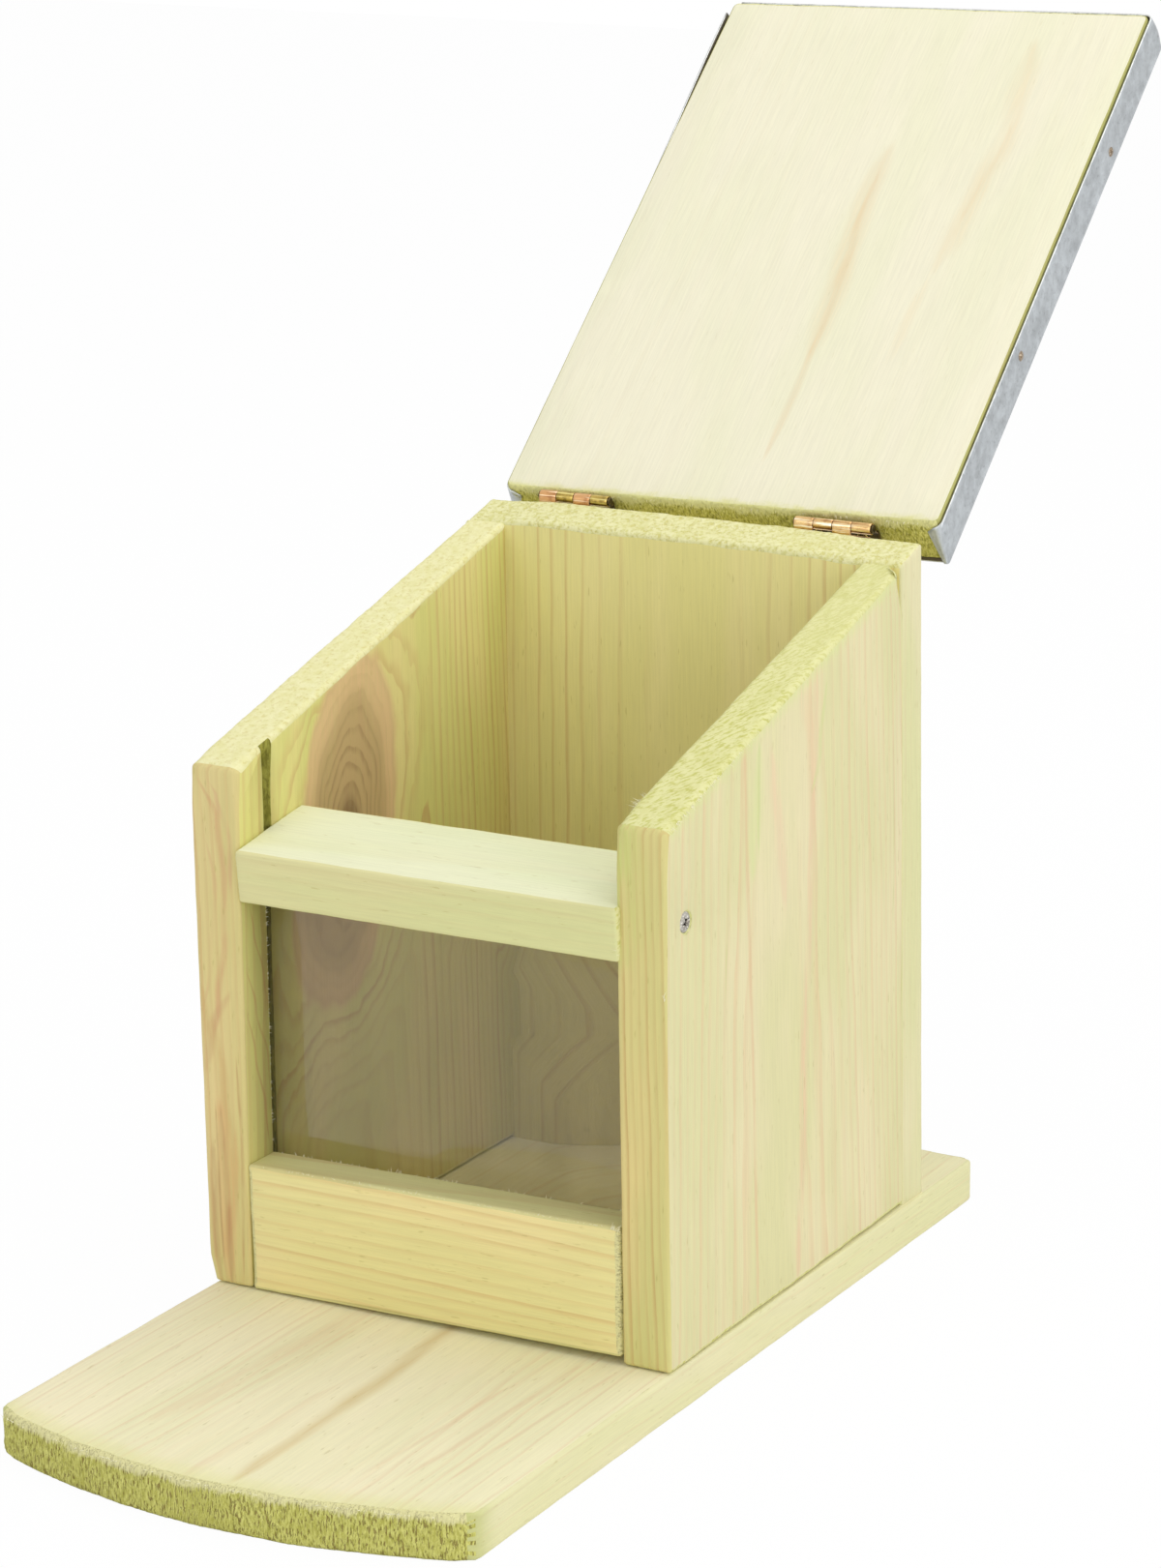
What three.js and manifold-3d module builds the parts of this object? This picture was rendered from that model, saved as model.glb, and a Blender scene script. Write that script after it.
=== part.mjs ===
// Squirrel feeder box: a pine hopper on a long base board, with a window in front and a
// sheet-covered lid that swings up on two small butt hinges. The lid is modelled thrown open.
// Millimetres, +Z up, and the front faces -Y. The origin is the middle of the base's underside.
import * as THREE from 'three';
import { mergeVertices } from 'three/addons/utils/BufferGeometryUtils.js';
import Module from 'manifold-3d';

const wasm = await Module();
wasm.setup();

// Box
const boxWidth = 135; // over both sides
const sideDepth = 137; // front edge of a side to the back board
const frontHeight = 142; // a side's front edge, above the base board
const roofSlope = THREE.MathUtils.degToRad(15.7);
const sideThickness = 12;
const backThickness = 13;
const edgeEase = 0.8; // sanded edges of every board
const cornerEase = 1.2; // along the long corners of a board

// Base board
const baseThickness = 12;
const baseLip = 0.5; // how far it shows past each side
const landingLength = 110; // in front of the box, at the middle
const frontBulge = 12; // the landing's front edge curves out by this much
const rearLedge = 30; // behind the back board
const baseCornerRadius = 4;

// Front board, rail and window
const frontBoardThickness = 12;
const frontBoardHeight = 35;
const railDepth = 32;
const railThickness = 13;
const railNose = 11.7; // rail's front face, ahead of its screws
const railTilt = THREE.MathUtils.degToRad(6); // it leans back on its two screws
const railScrewHeight = 115.3; // above the base board
const railScrewSetback = 10.4; // from the front edge of the sides
const paneThickness = 3;
const paneEase = 0.2; // its edges are only just broken
const grooveDepth = 4;

// Lid and its sheet
const lidInset = 1; // its wood stops short of each side of the box
const lidLength = 187;
const lidThickness = 12.8;
const lidShift = 1.3; // the lid hangs a little to the right of the box
const lidCornerRadius = 3;
const lidOpenAngle = THREE.MathUtils.degToRad(154.4); // from lying on the sides to thrown open
const sheetThickness = 0.6;
const bendRadius = 1.2; // outside of a fold
const sheetCornerRadius = 2; // where the front fold meets the long ones
const bareEdge = 0.8; // wood that the folded-down edges leave bare
const sheetOverhang = 2.5; // past the lid's hinge end
const tabReach = 5.5; // corner tabs, folded in over the end grain
const cornerNotch = 4.5; // snipped out of the left fold at the front corner

// Hinges
const hingeLength = 23;
const hingeInsets = { left: 25, right: 30 }; // from each side of the box to the hinge's middle
const hingeRise = 1.8; // pin above the back board's top edge
const leafReach = 9; // pin to the leaf's free edge
const leafThickness = 0.8;
const leafCornerRadius = 1;
const knuckleRadius = 1.6;
const knuckleCount = 4;
const pinRadius = 0.9;
const pinHeadRadius = 1.3;
const pinHeadHeight = 0.5;
const leafScrewReach = 6; // pin to the screw row
const leafScrewInset = 5; // from the leaf's ends

// Fits
const fitGap = 0.3; // between neighbours
const runningGap = 0.08; // pin in its knuckles
const endPlay = 0.2; // between knuckles
const overrun = 2; // how far a cutter passes the face it cuts

// Screws and nails: a dome above the surface, and a countersunk cone of headSink below it
const railScrew = { headRadius: 3.1, headRise: 1.5, headSink: 0, shankRadius: 1.6, length: 30, slot: 3.4 };
const baseScrew = { headRadius: 3.5, headRise: 0, headSink: 2.2, shankRadius: 1.75, length: 35, slot: 3.6 };
const backScrew = { headRadius: 3.2, headRise: 0, headSink: 2, shankRadius: 1.6, length: 32, slot: 3.4 };
const leafScrew = { headRadius: 1.9, headRise: 0.9, headSink: 0, shankRadius: 1.1, length: 9, slot: 2.2 };
const coverNail = { headRadius: 1.5, headRise: 0.6, headSink: 0, shankRadius: 0.7, length: 16, slot: 0 };
const slotWidth = 0.8;
const slotDepth = 0.7;
const backScrewHeights = [32, 138]; // above the base board
const sideScrewInset = 28; // from a side's two ends, into its bottom edge
const crossScrewInset = 30; // from the ends of the back and front boards
const coverNails = [ // from the lid's hinge end, and above its underside
  { setback: 63.5, height: 5.6 },
  { setback: 142, height: 8.6 },
];

// Smoothness
const cornerSteps = 2;
const bevelSteps = 2;
const arcSteps = 12;
const roundSteps = 16;
const knuckleSteps = 24;

// Worked out from the sizes above
const slopeRise = Math.tan(roofSlope);
const boxDepth = sideDepth + backThickness;
const ridgeHeight = frontHeight + boxDepth * slopeRise; // rear top edge of the back board
const innerWidth = boxWidth - 2 * sideThickness;
const lidWidth = boxWidth - 2 * lidInset;
const baseLength = landingLength + boxDepth + rearLedge;
const boxFront = landingLength - baseLength / 2;
const grooveFront = frontBoardThickness;
const grooveWidth = paneThickness + 2 * fitGap;
const hingeOffset = knuckleRadius + fitGap; // pin to the wood that a leaf lies on
const hingeBack = boxDepth + hingeOffset;
const hingeHeight = ridgeHeight + hingeRise;
const lidUnderside = hingeOffset * Math.sin(roofSlope) - hingeRise * Math.cos(roofSlope) + fitGap;
const lidTop = lidUnderside + lidThickness;
const lidEnd = -hingeOffset; // the lid's hinge end, in front of the pin
const hingePlaces = { left: hingeInsets.left - boxWidth / 2, right: boxWidth / 2 - hingeInsets.right };

const pine = new THREE.MeshStandardMaterial({ color: 0xe4dfae, roughness: 0.8, metalness: 0 });
const lidPine = new THREE.MeshStandardMaterial({ color: 0xf2ecd0, roughness: 0.75, metalness: 0 });
const clearSheet = new THREE.MeshStandardMaterial({
  color: 0xdfe6ea, roughness: 0.08, metalness: 0, transparent: true, opacity: 0.3,
});
const galvanised = new THREE.MeshStandardMaterial({ color: 0xafb9bf, roughness: 0.4, metalness: 0.85 });
const brassPlate = new THREE.MeshStandardMaterial({ color: 0xc98f55, roughness: 0.3, metalness: 0.9 });
const zincPlate = new THREE.MeshStandardMaterial({ color: 0xb9b4ad, roughness: 0.35, metalness: 0.85 });
const copperNail = new THREE.MeshStandardMaterial({ color: 0x9a6b48, roughness: 0.45, metalness: 0.7 });

// Frames that a flat outline is drawn in before it is extruded
const acrossBox = new THREE.Matrix4().makeBasis(
  new THREE.Vector3(0, 1, 0), new THREE.Vector3(0, 0, 1), new THREE.Vector3(1, 0, 0),
);
const facingRear = new THREE.Matrix4().makeBasis(
  new THREE.Vector3(-1, 0, 0), new THREE.Vector3(0, 0, 1), new THREE.Vector3(0, 1, 0),
);

// A closed geometry as a solid, with shared corners merged and collapsed triangles left out
function toSolid(geometry) {
  const bare = geometry.clone();
  bare.deleteAttribute('normal');
  bare.deleteAttribute('uv');
  const merged = mergeVertices(bare);
  const corners = merged.index.array;
  const triangles = [];
  for (let i = 0; i < corners.length; i += 3) {
    const [a, b, c] = [corners[i], corners[i + 1], corners[i + 2]];
    if (a !== b && b !== c && c !== a) triangles.push(a, b, c);
  }
  return new wasm.Manifold(new wasm.Mesh({
    numProp: 3,
    vertProperties: new Float32Array(merged.attributes.position.array),
    triVerts: new Uint32Array(triangles),
  }));
}

function toGeometry(solid) {
  const mesh = solid.getMesh();
  const geometry = new THREE.BufferGeometry();
  geometry.setAttribute('position', new THREE.BufferAttribute(mesh.vertProperties, mesh.numProp));
  geometry.setIndex(new THREE.BufferAttribute(mesh.triVerts, 1));
  geometry.computeVertexNormals();
  return geometry;
}

function cutAll(solid, cutters) {
  return cutters.reduce((left, cutter) => left.subtract(cutter), solid);
}

function piece(name, solid, material) {
  const mesh = new THREE.Mesh(toGeometry(solid), material);
  mesh.name = name;
  return mesh;
}

// Straight-sided outline, drawn anticlockwise, whose corners are all rounded alike
function easedOutline(corners, radius) {
  const shape = new THREE.Shape();
  corners.forEach((corner, i) => {
    const before = corners[(i + corners.length - 1) % corners.length];
    const after = corners[(i + 1) % corners.length];
    const along = corner.clone().sub(before).normalize();
    const onward = after.clone().sub(corner).normalize();
    const turn = Math.acos(along.dot(onward));
    const inward = new THREE.Vector2(-along.y, along.x);
    const centre = corner.clone().addScaledVector(along, -radius * Math.tan(turn / 2));
    centre.addScaledVector(inward, radius);
    const start = along.angle() - Math.PI / 2;
    shape.absarc(centre.x, centre.y, radius, start, start + turn, false);
  });
  shape.closePath();
  return shape;
}

function rectangle(left, right, bottom, top) {
  return [
    new THREE.Vector2(left, bottom),
    new THREE.Vector2(right, bottom),
    new THREE.Vector2(right, top),
    new THREE.Vector2(left, top),
  ];
}

// A flat outline made into a board of full thickness, with both faces' edges eased
function board(outline, thickness, ease = edgeEase, steps = cornerSteps) {
  return new THREE.ExtrudeGeometry(outline, {
    depth: thickness - 2 * ease,
    bevelEnabled: true,
    bevelThickness: ease,
    bevelSize: ease,
    bevelOffset: -ease,
    bevelSegments: bevelSteps,
    curveSegments: steps,
  }).translate(0, 0, ease);
}

// A board that runs across the box: its section is drawn in Y and Z
function crossBoard(section, length, ease = edgeEase) {
  return board(section, length, ease).translate(0, 0, -length / 2).applyMatrix4(acrossBox);
}

function block(low, high) {
  const size = new THREE.Vector3().subVectors(high, low);
  const middle = new THREE.Vector3().addVectors(low, high).multiplyScalar(0.5);
  return toSolid(new THREE.BoxGeometry(size.x, size.y, size.z).translate(middle.x, middle.y, middle.z));
}

// Turned along +Z: a dome or a countersunk cone, then the shank and its point, grown by a gap
function fastenerProfile(kind, grow = 0) {
  const head = kind.headRadius + grow;
  const shank = kind.shankRadius + grow;
  const shoulder = grow > 0 ? grow : 0;
  const points = [new THREE.Vector2(0, -kind.length - grow), new THREE.Vector2(shank, -kind.length + 2 * shank)];
  points.push(new THREE.Vector2(shank, -kind.headSink - shoulder));
  points.push(new THREE.Vector2(head, -shoulder));
  if (grow > 0) {
    points.push(new THREE.Vector2(head, kind.headRise + overrun));
    points.push(new THREE.Vector2(0, kind.headRise + overrun));
    return points;
  }
  const dome = new THREE.QuadraticBezierCurve(
    new THREE.Vector2(head, 0), new THREE.Vector2(head, kind.headRise), new THREE.Vector2(0, kind.headRise),
  );
  if (kind.headRise > 0) points.push(...dome.getPoints(cornerSteps).slice(1));
  else points.push(new THREE.Vector2(0, 0));
  return points;
}

function turned(points, steps = roundSteps) {
  return new THREE.LatheGeometry(points, steps).rotateX(Math.PI / 2);
}

// A cross recess in a screw's head
function recess(kind) {
  const top = kind.headRise + overrun;
  const floor = kind.headRise - slotDepth;
  const arms = [[kind.slot, slotWidth], [slotWidth, kind.slot]];
  return arms.map(([long, wide]) => block(
    new THREE.Vector3(-long / 2, -wide / 2, floor), new THREE.Vector3(long / 2, wide / 2, top),
  ));
}

function fastenerSolid(kind) {
  const body = toSolid(turned(fastenerProfile(kind)));
  return kind.slot > 0 ? cutAll(body, recess(kind)) : body;
}

// Where a fastener goes: the middle of its head at the surface, and the way that its head looks
function seat(kind, x, y, z, out) {
  const turn = new THREE.Quaternion().setFromUnitVectors(new THREE.Vector3(0, 0, 1), out);
  return { kind, at: new THREE.Vector3(x, y, z), turn };
}

function fastenerAt(name, place, material) {
  const mesh = piece(name, fastenerSolid(place.kind), material);
  mesh.position.copy(place.at);
  mesh.quaternion.copy(place.turn);
  return mesh;
}

function holeFor(place) {
  const placing = new THREE.Matrix4().compose(place.at, place.turn, new THREE.Vector3(1, 1, 1));
  return toSolid(turned(fastenerProfile(place.kind, fitGap)).applyMatrix4(placing));
}

const toRight = new THREE.Vector3(1, 0, 0);
const toLeft = new THREE.Vector3(-1, 0, 0);
const toRear = new THREE.Vector3(0, 1, 0);
const downward = new THREE.Vector3(0, 0, -1);

// Seats in the box's own frame: y from the front edges of the sides, z from the base's top
function boxSeats() {
  const sideMiddle = (boxWidth - sideThickness) / 2;
  const crossX = innerWidth / 2 - crossScrewInset;
  const sides = [['left', -1, toLeft], ['right', 1, toRight]];
  const seats = { rail: {}, base: {}, back: {} };
  sides.forEach(([side, sign, out]) => {
    seats.rail[side] = seat(railScrew, sign * boxWidth / 2, railScrewSetback, railScrewHeight, out);
    [['front', sideScrewInset], ['rear', sideDepth - sideScrewInset]].forEach(([end, y]) => {
      seats.base[`${side}_side_${end}`] = seat(baseScrew, sign * sideMiddle, y, -baseThickness, downward);
    });
    const backY = sideDepth + backThickness / 2;
    const frontY = frontBoardThickness / 2;
    seats.base[`back_board_${side}`] = seat(baseScrew, sign * crossX, backY, -baseThickness, downward);
    seats.base[`front_board_${side}`] = seat(baseScrew, sign * crossX, frontY, -baseThickness, downward);
    backScrewHeights.forEach((z, i) => {
      seats.back[`${side}_${i + 1}`] = seat(backScrew, sign * sideMiddle, boxDepth, z, toRear);
    });
  });
  return seats;
}

// A leaf's two screws, seen from its pin: the leaf lies at -Y and reaches up
function leafSeats(centreX, reachSign) {
  const inset = hingeLength / 2 - leafScrewInset;
  return [-1, 1].map((sign) => seat(
    leafScrew, centreX + sign * inset, leafThickness - knuckleRadius, reachSign * leafScrewReach, toRear,
  ));
}

function nailSeats() {
  const edge = lidWidth / 2 + fitGap + sheetThickness;
  const seats = {};
  coverNails.forEach(({ setback, height }, i) => {
    const [y, z] = [lidEnd - setback, lidUnderside + height];
    seats[`left_${i + 1}`] = seat(coverNail, -edge, y, z, toLeft);
    seats[`right_${i + 1}`] = seat(coverNail, edge, y, z, toRight);
  });
  return seats;
}

const seatsInBox = boxSeats();
const seatsOfNails = nailSeats();
const baseHoles = Object.values(seatsInBox.base).map(holeFor);
const backHoles = Object.values(seatsInBox.back).map(holeFor);
const railHoles = Object.values(seatsInBox.rail).map(holeFor);

// A long board with rounded corners and a front end that bulges out between them
function baseBoard() {
  const half = boxWidth / 2 + baseLip;
  const front = -landingLength;
  const rear = boxDepth + rearLedge;
  const corner = baseCornerRadius;
  const shape = new THREE.Shape();
  const bulgeReach = half - corner;
  shape.moveTo(-bulgeReach, front + frontBulge);
  const arcRadius = (bulgeReach ** 2 + frontBulge ** 2) / (2 * frontBulge);
  const sweep = Math.asin(bulgeReach / arcRadius);
  shape.absarc(0, front + arcRadius, arcRadius, -Math.PI / 2 - sweep, -Math.PI / 2 + sweep, false);
  shape.quadraticCurveTo(half, front + frontBulge + corner / 2, half, front + frontBulge + 2 * corner);
  shape.lineTo(half, rear - corner);
  shape.quadraticCurveTo(half, rear, half - corner, rear);
  shape.lineTo(corner - half, rear);
  shape.quadraticCurveTo(-half, rear, -half, rear - corner);
  shape.lineTo(-half, front + frontBulge + 2 * corner);
  shape.quadraticCurveTo(-half, front + frontBulge + corner / 2, -bulgeReach, front + frontBulge);
  const plank = toSolid(board(shape, baseThickness, edgeEase, arcSteps).translate(0, 0, -baseThickness));
  return cutAll(plank, baseHoles);
}

// A side: upright front edge, sloped top, and a saw groove that the pane slides down
function sidePanel(sign) {
  const section = easedOutline([
    new THREE.Vector2(0, fitGap),
    new THREE.Vector2(sideDepth - fitGap, fitGap),
    new THREE.Vector2(sideDepth - fitGap, frontHeight + (sideDepth - fitGap) * slopeRise),
    new THREE.Vector2(0, frontHeight),
  ], cornerEase);
  const middle = sign * (boxWidth - sideThickness) / 2;
  const panel = toSolid(crossBoard(section, sideThickness).translate(middle, 0, 0));
  const inner = innerWidth / 2;
  const cuts = [sign * (inner - overrun), sign * (inner + grooveDepth)].sort((a, b) => a - b);
  const groove = block(
    new THREE.Vector3(cuts[0], grooveFront, -overrun),
    new THREE.Vector3(cuts[1], grooveFront + grooveWidth, ridgeHeight),
  );
  return cutAll(panel, [groove, ...baseHoles, ...backHoles, ...railHoles]);
}

// The back's top is sawn to the lid's slope
function backBoard(hingeHoles) {
  const section = easedOutline([
    new THREE.Vector2(sideDepth, fitGap),
    new THREE.Vector2(boxDepth, fitGap),
    new THREE.Vector2(boxDepth, ridgeHeight),
    new THREE.Vector2(sideDepth, frontHeight + sideDepth * slopeRise),
  ], cornerEase);
  return cutAll(toSolid(crossBoard(section, boxWidth)), [...baseHoles, ...backHoles, ...hingeHoles]);
}

function frontBoard() {
  const section = easedOutline(rectangle(0, frontBoardThickness, fitGap, frontBoardHeight), cornerEase);
  return cutAll(toSolid(crossBoard(section, innerWidth - 2 * fitGap)), baseHoles);
}

// The rail is drawn about its screws, so that it leans on them
function topRail() {
  const tail = railDepth - railNose;
  const section = easedOutline(rectangle(-railNose, tail, -railThickness / 2, railThickness / 2), cornerEase);
  const bar = crossBoard(section, innerWidth - 2 * fitGap).rotateX(railTilt);
  return cutAll(toSolid(bar.translate(0, railScrewSetback, railScrewHeight)), railHoles);
}

function windowPane() {
  const front = grooveFront + fitGap;
  const railUnderside = railScrewHeight - railThickness / 2 / Math.cos(railTilt)
    + (front - railScrewSetback) * Math.tan(railTilt);
  const section = easedOutline(
    rectangle(front, front + paneThickness, fitGap, railUnderside - fitGap), fitGap,
  );
  return toSolid(crossBoard(section, innerWidth + 2 * (grooveDepth - fitGap), paneEase));
}

// Lid frame: the pin is the origin, the lid runs towards -Y, and +Z is its roof side
function lidBoard(holes) {
  const half = lidWidth / 2;
  const outline = easedOutline(rectangle(-half, half, lidEnd - lidLength, lidEnd), lidCornerRadius);
  return cutAll(toSolid(board(outline, lidThickness).translate(0, 0, lidUnderside)), holes);
}

// One folded sheet: roof, two long folds, a front fold and two tabs turned in over the end grain
function lidCover(nailHoles) {
  const half = lidWidth / 2 + fitGap + sheetThickness;
  const roof = lidTop + fitGap + sheetThickness;
  const hem = lidUnderside + bareEdge;
  const front = lidEnd - lidLength - fitGap - sheetThickness;
  const rear = lidEnd + sheetOverhang;
  const tray = (inset) => {
    const outline = easedOutline(
      rectangle(inset - half, half - inset, front + inset, rear + lidThickness), sheetCornerRadius - inset,
    );
    const depth = roof - inset - lidUnderside + overrun;
    return toSolid(board(outline, depth, bendRadius - inset).translate(0, 0, lidUnderside - overrun));
  };
  const shell = tray(0).subtract(tray(sheetThickness));
  const tab = cornerTab(half, roof, hem, rear);
  const wide = half + overrun;
  const belowHem = block(
    new THREE.Vector3(-wide, front - overrun, hem - lidThickness), new THREE.Vector3(wide, rear + wide, hem),
  );
  const pastRear = block(
    new THREE.Vector3(-wide, rear, hem - lidThickness), new THREE.Vector3(wide, rear + wide, roof + overrun),
  );
  const notch = block(
    new THREE.Vector3(-wide, front + sheetThickness, hem - overrun),
    new THREE.Vector3(bendRadius - half, front + cornerNotch, roof - bendRadius),
  );
  const folded = cutAll(shell, [belowHem, pastRear, notch, ...foldEndCuts(half, roof, hem, rear)]);
  return cutAll(folded.add(tab(1)).add(tab(-1)), nailHoles);
}

// The end of a long fold leans from the roof's rear edge down to the end grain
function foldLean(roof, hem) {
  return Math.atan2(sheetOverhang - fitGap - sheetThickness, roof - hem);
}

function foldEndCuts(half, roof, hem, rear) {
  const lean = foldLean(roof, hem);
  const cutter = new THREE.BoxGeometry(2 * half + overrun, lidThickness, 3 * lidThickness);
  cutter.translate(0, lidThickness / 2, -lidThickness / 2).rotateX(-lean).translate(0, rear, roof - bendRadius);
  const keepRoof = block(
    new THREE.Vector3(-half - overrun, lidEnd - lidThickness, roof - bendRadius),
    new THREE.Vector3(half + overrun, rear + lidThickness, roof + lidThickness),
  );
  return [toSolid(cutter).subtract(keepRoof)];
}

function cornerTab(half, roof, hem, rear) {
  const lean = foldLean(roof, hem);
  const height = (roof - bendRadius - hem) / Math.cos(lean);
  return (sign) => {
    const shape = new THREE.Shape();
    shape.moveTo(0, 0);
    shape.lineTo(-sheetThickness, 0);
    shape.lineTo(-tabReach, -height);
    shape.lineTo(0, -height);
    shape.closePath();
    const flap = new THREE.ExtrudeGeometry(shape, { depth: sheetThickness, bevelEnabled: false });
    flap.rotateX(Math.PI / 2).rotateX(-lean).translate(half, rear, roof - bendRadius);
    const solid = toSolid(flap);
    return sign > 0 ? solid : solid.mirror([1, 0, 0]);
  };
}

// A rolled leaf, pin along X at the origin. It lies at -Y, reaches up, and owns every other knuckle.
function hingeLeaf() {
  const half = hingeLength / 2;
  const pitch = hingeLength / knuckleCount;
  const cutBack = knuckleRadius + fitGap;
  const plateShape = easedOutline(rectangle(-half, half, 0, leafReach), leafCornerRadius);
  const plateGeometry = new THREE.ExtrudeGeometry(plateShape, {
    depth: leafThickness, bevelEnabled: false, curveSegments: cornerSteps,
  });
  plateGeometry.applyMatrix4(facingRear).translate(0, -knuckleRadius, 0);
  let leaf = toSolid(plateGeometry);
  for (let i = 0; i < knuckleCount; i += 1) {
    const start = -half + i * pitch;
    if (i % 2 === 1) {
      const barrel = new THREE.CylinderGeometry(knuckleRadius, knuckleRadius, pitch - endPlay, knuckleSteps);
      barrel.rotateZ(Math.PI / 2).translate(start + pitch / 2, 0, 0);
      leaf = leaf.add(toSolid(barrel));
    } else {
      leaf = leaf.subtract(block(
        new THREE.Vector3(start - endPlay / 2, -2 * knuckleRadius, -overrun),
        new THREE.Vector3(start + pitch + endPlay / 2, knuckleRadius, cutBack),
      ));
    }
  }
  const boreRadius = pinRadius + runningGap;
  const bore = new THREE.CylinderGeometry(boreRadius, boreRadius, 2 * hingeLength, knuckleSteps);
  const screwHoles = leafSeats(0, 1).map(holeFor);
  return cutAll(leaf, [toSolid(bore.rotateZ(Math.PI / 2)), ...screwHoles]);
}

function hingePin() {
  const half = hingeLength / 2 + endPlay;
  const tip = half + pinHeadHeight;
  const points = [
    new THREE.Vector2(0, -tip),
    new THREE.Vector2(pinHeadRadius, -tip),
    new THREE.Vector2(pinHeadRadius, -half),
    new THREE.Vector2(pinRadius, -half),
    new THREE.Vector2(pinRadius, half),
    new THREE.Vector2(pinHeadRadius, half),
    new THREE.Vector2(pinHeadRadius, tip),
    new THREE.Vector2(0, tip),
  ];
  return toSolid(new THREE.LatheGeometry(points, knuckleSteps).rotateZ(Math.PI / 2));
}

// The box, standing on the base board
const box = new THREE.Group();
box.position.set(0, boxFront, baseThickness);

// The pins' line, and the lid turning on it
const hingeLine = new THREE.Group();
hingeLine.position.set(0, hingeBack, hingeHeight);
const lid = new THREE.Group();
lid.position.x = lidShift;
lid.rotation.x = roofSlope - lidOpenAngle;
hingeLine.add(lid);
box.add(hingeLine);

const leafSolid = hingeLeaf();
const pinSolid = hingePin();
const fixedHoles = [];
const movingHoles = [];
Object.entries(hingePlaces).forEach(([side, x]) => {
  const fixedLeaf = piece(`hinge_${side}_fixed_leaf`, leafSolid, brassPlate);
  fixedLeaf.position.x = x;
  fixedLeaf.rotation.y = Math.PI;
  const pin = piece(`hinge_${side}_pin`, pinSolid, brassPlate);
  pin.position.x = x;
  hingeLine.add(fixedLeaf, pin);
  const movingLeaf = piece(`hinge_${side}_moving_leaf`, leafSolid, brassPlate);
  movingLeaf.position.x = x - lidShift;
  lid.add(movingLeaf);
  leafSeats(x, -1).forEach((place, i) => {
    hingeLine.add(fastenerAt(`hinge_${side}_back_screw_${i + 1}`, place, brassPlate));
    fixedHoles.push(holeFor(place).translate([0, hingeBack, hingeHeight]));
  });
  leafSeats(x - lidShift, 1).forEach((place, i) => {
    lid.add(fastenerAt(`hinge_${side}_lid_screw_${i + 1}`, place, brassPlate));
    movingHoles.push(holeFor(place));
  });
});

box.add(
  piece('base_board', baseBoard(), pine),
  piece('left_side', sidePanel(-1), pine),
  piece('right_side', sidePanel(1), pine),
  piece('back_board', backBoard(fixedHoles), pine),
  piece('front_board', frontBoard(), pine),
  piece('top_rail', topRail(), pine),
  piece('window_pane', windowPane(), clearSheet),
);
Object.entries(seatsInBox.rail).forEach(([key, place]) => {
  box.add(fastenerAt(`rail_screw_${key}`, place, zincPlate));
});
Object.entries(seatsInBox.base).forEach(([key, place]) => {
  box.add(fastenerAt(`base_screw_${key}`, place, zincPlate));
});
Object.entries(seatsInBox.back).forEach(([key, place]) => {
  box.add(fastenerAt(`back_screw_${key}`, place, zincPlate));
});

const nailHoles = Object.values(seatsOfNails).map(holeFor);
lid.add(
  piece('lid_board', lidBoard([...movingHoles, ...nailHoles]), lidPine),
  piece('lid_cover', lidCover(nailHoles), galvanised),
);
Object.entries(seatsOfNails).forEach(([key, place]) => {
  lid.add(fastenerAt(`cover_nail_${key}`, place, copperNail));
});

const feederBox = new THREE.Group();
feederBox.add(box);
export default feederBox;
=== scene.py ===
import math
import random

import bpy
from mathutils import Matrix, Vector, geometry, noise


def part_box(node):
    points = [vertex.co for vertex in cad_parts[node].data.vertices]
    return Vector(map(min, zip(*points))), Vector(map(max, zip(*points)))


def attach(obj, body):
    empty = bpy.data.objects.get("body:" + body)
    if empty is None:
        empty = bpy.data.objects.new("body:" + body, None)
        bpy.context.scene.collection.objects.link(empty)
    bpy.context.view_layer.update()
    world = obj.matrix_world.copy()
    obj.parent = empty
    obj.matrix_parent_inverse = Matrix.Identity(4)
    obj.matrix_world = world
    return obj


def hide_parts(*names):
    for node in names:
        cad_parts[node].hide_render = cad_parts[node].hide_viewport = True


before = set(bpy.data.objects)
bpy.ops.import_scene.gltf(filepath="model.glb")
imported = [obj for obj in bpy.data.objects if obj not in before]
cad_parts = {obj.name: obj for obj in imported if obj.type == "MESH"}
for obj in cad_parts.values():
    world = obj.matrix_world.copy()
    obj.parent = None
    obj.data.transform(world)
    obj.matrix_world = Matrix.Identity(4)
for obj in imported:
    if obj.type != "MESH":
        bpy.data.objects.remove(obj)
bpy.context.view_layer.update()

# Lengths below are millimetres, in the model's frame: +Z up, the front faces -Y.
mm = 0.001
fullCircle = 2 * math.pi
xWay, yWay, zWay = Vector((1, 0, 0)), Vector((0, 1, 0)), Vector((0, 0, 1))


def blendBetween(a, b, share):
    return a + (b - a) * share


def smoothStep(low, high, value):
    share = min(1.0, max(0.0, (value - low) / (high - low)))
    return share * share * (3 - 2 * share)


def around(steps, radius=1, centre=(0, 0)):  # points round a circle
    turns = [fullCircle * k / steps for k in range(steps)]
    return [Vector((centre[0] + radius * math.cos(a), centre[1] + radius * math.sin(a))) for a in turns]


def nodeBox(node):  # a CAD node's corners, in millimetres
    low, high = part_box(node)
    return low / mm, high / mm


# The real box was screwed together a little out of square: (x, z) moves of its corners.
boxLean = {
    "front": -35, "depth": 150, "floor": 12, "frontHeight": 142, "rise": math.tan(math.radians(15.7)),
    "halfWidth": 67.5,
    "bottom": {
        "leftFront": (-0.9, 0), "leftRear": (0, 0), "rightFront": (0, 0), "rightRear": (0.1, 0.3),
    },
    "top": {
        "leftFront": (-1.1, 0), "leftRear": (-0.9, 0), "rightFront": (1, -0.3), "rightRear": (-2.0, -0.3),
    },
}


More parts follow.
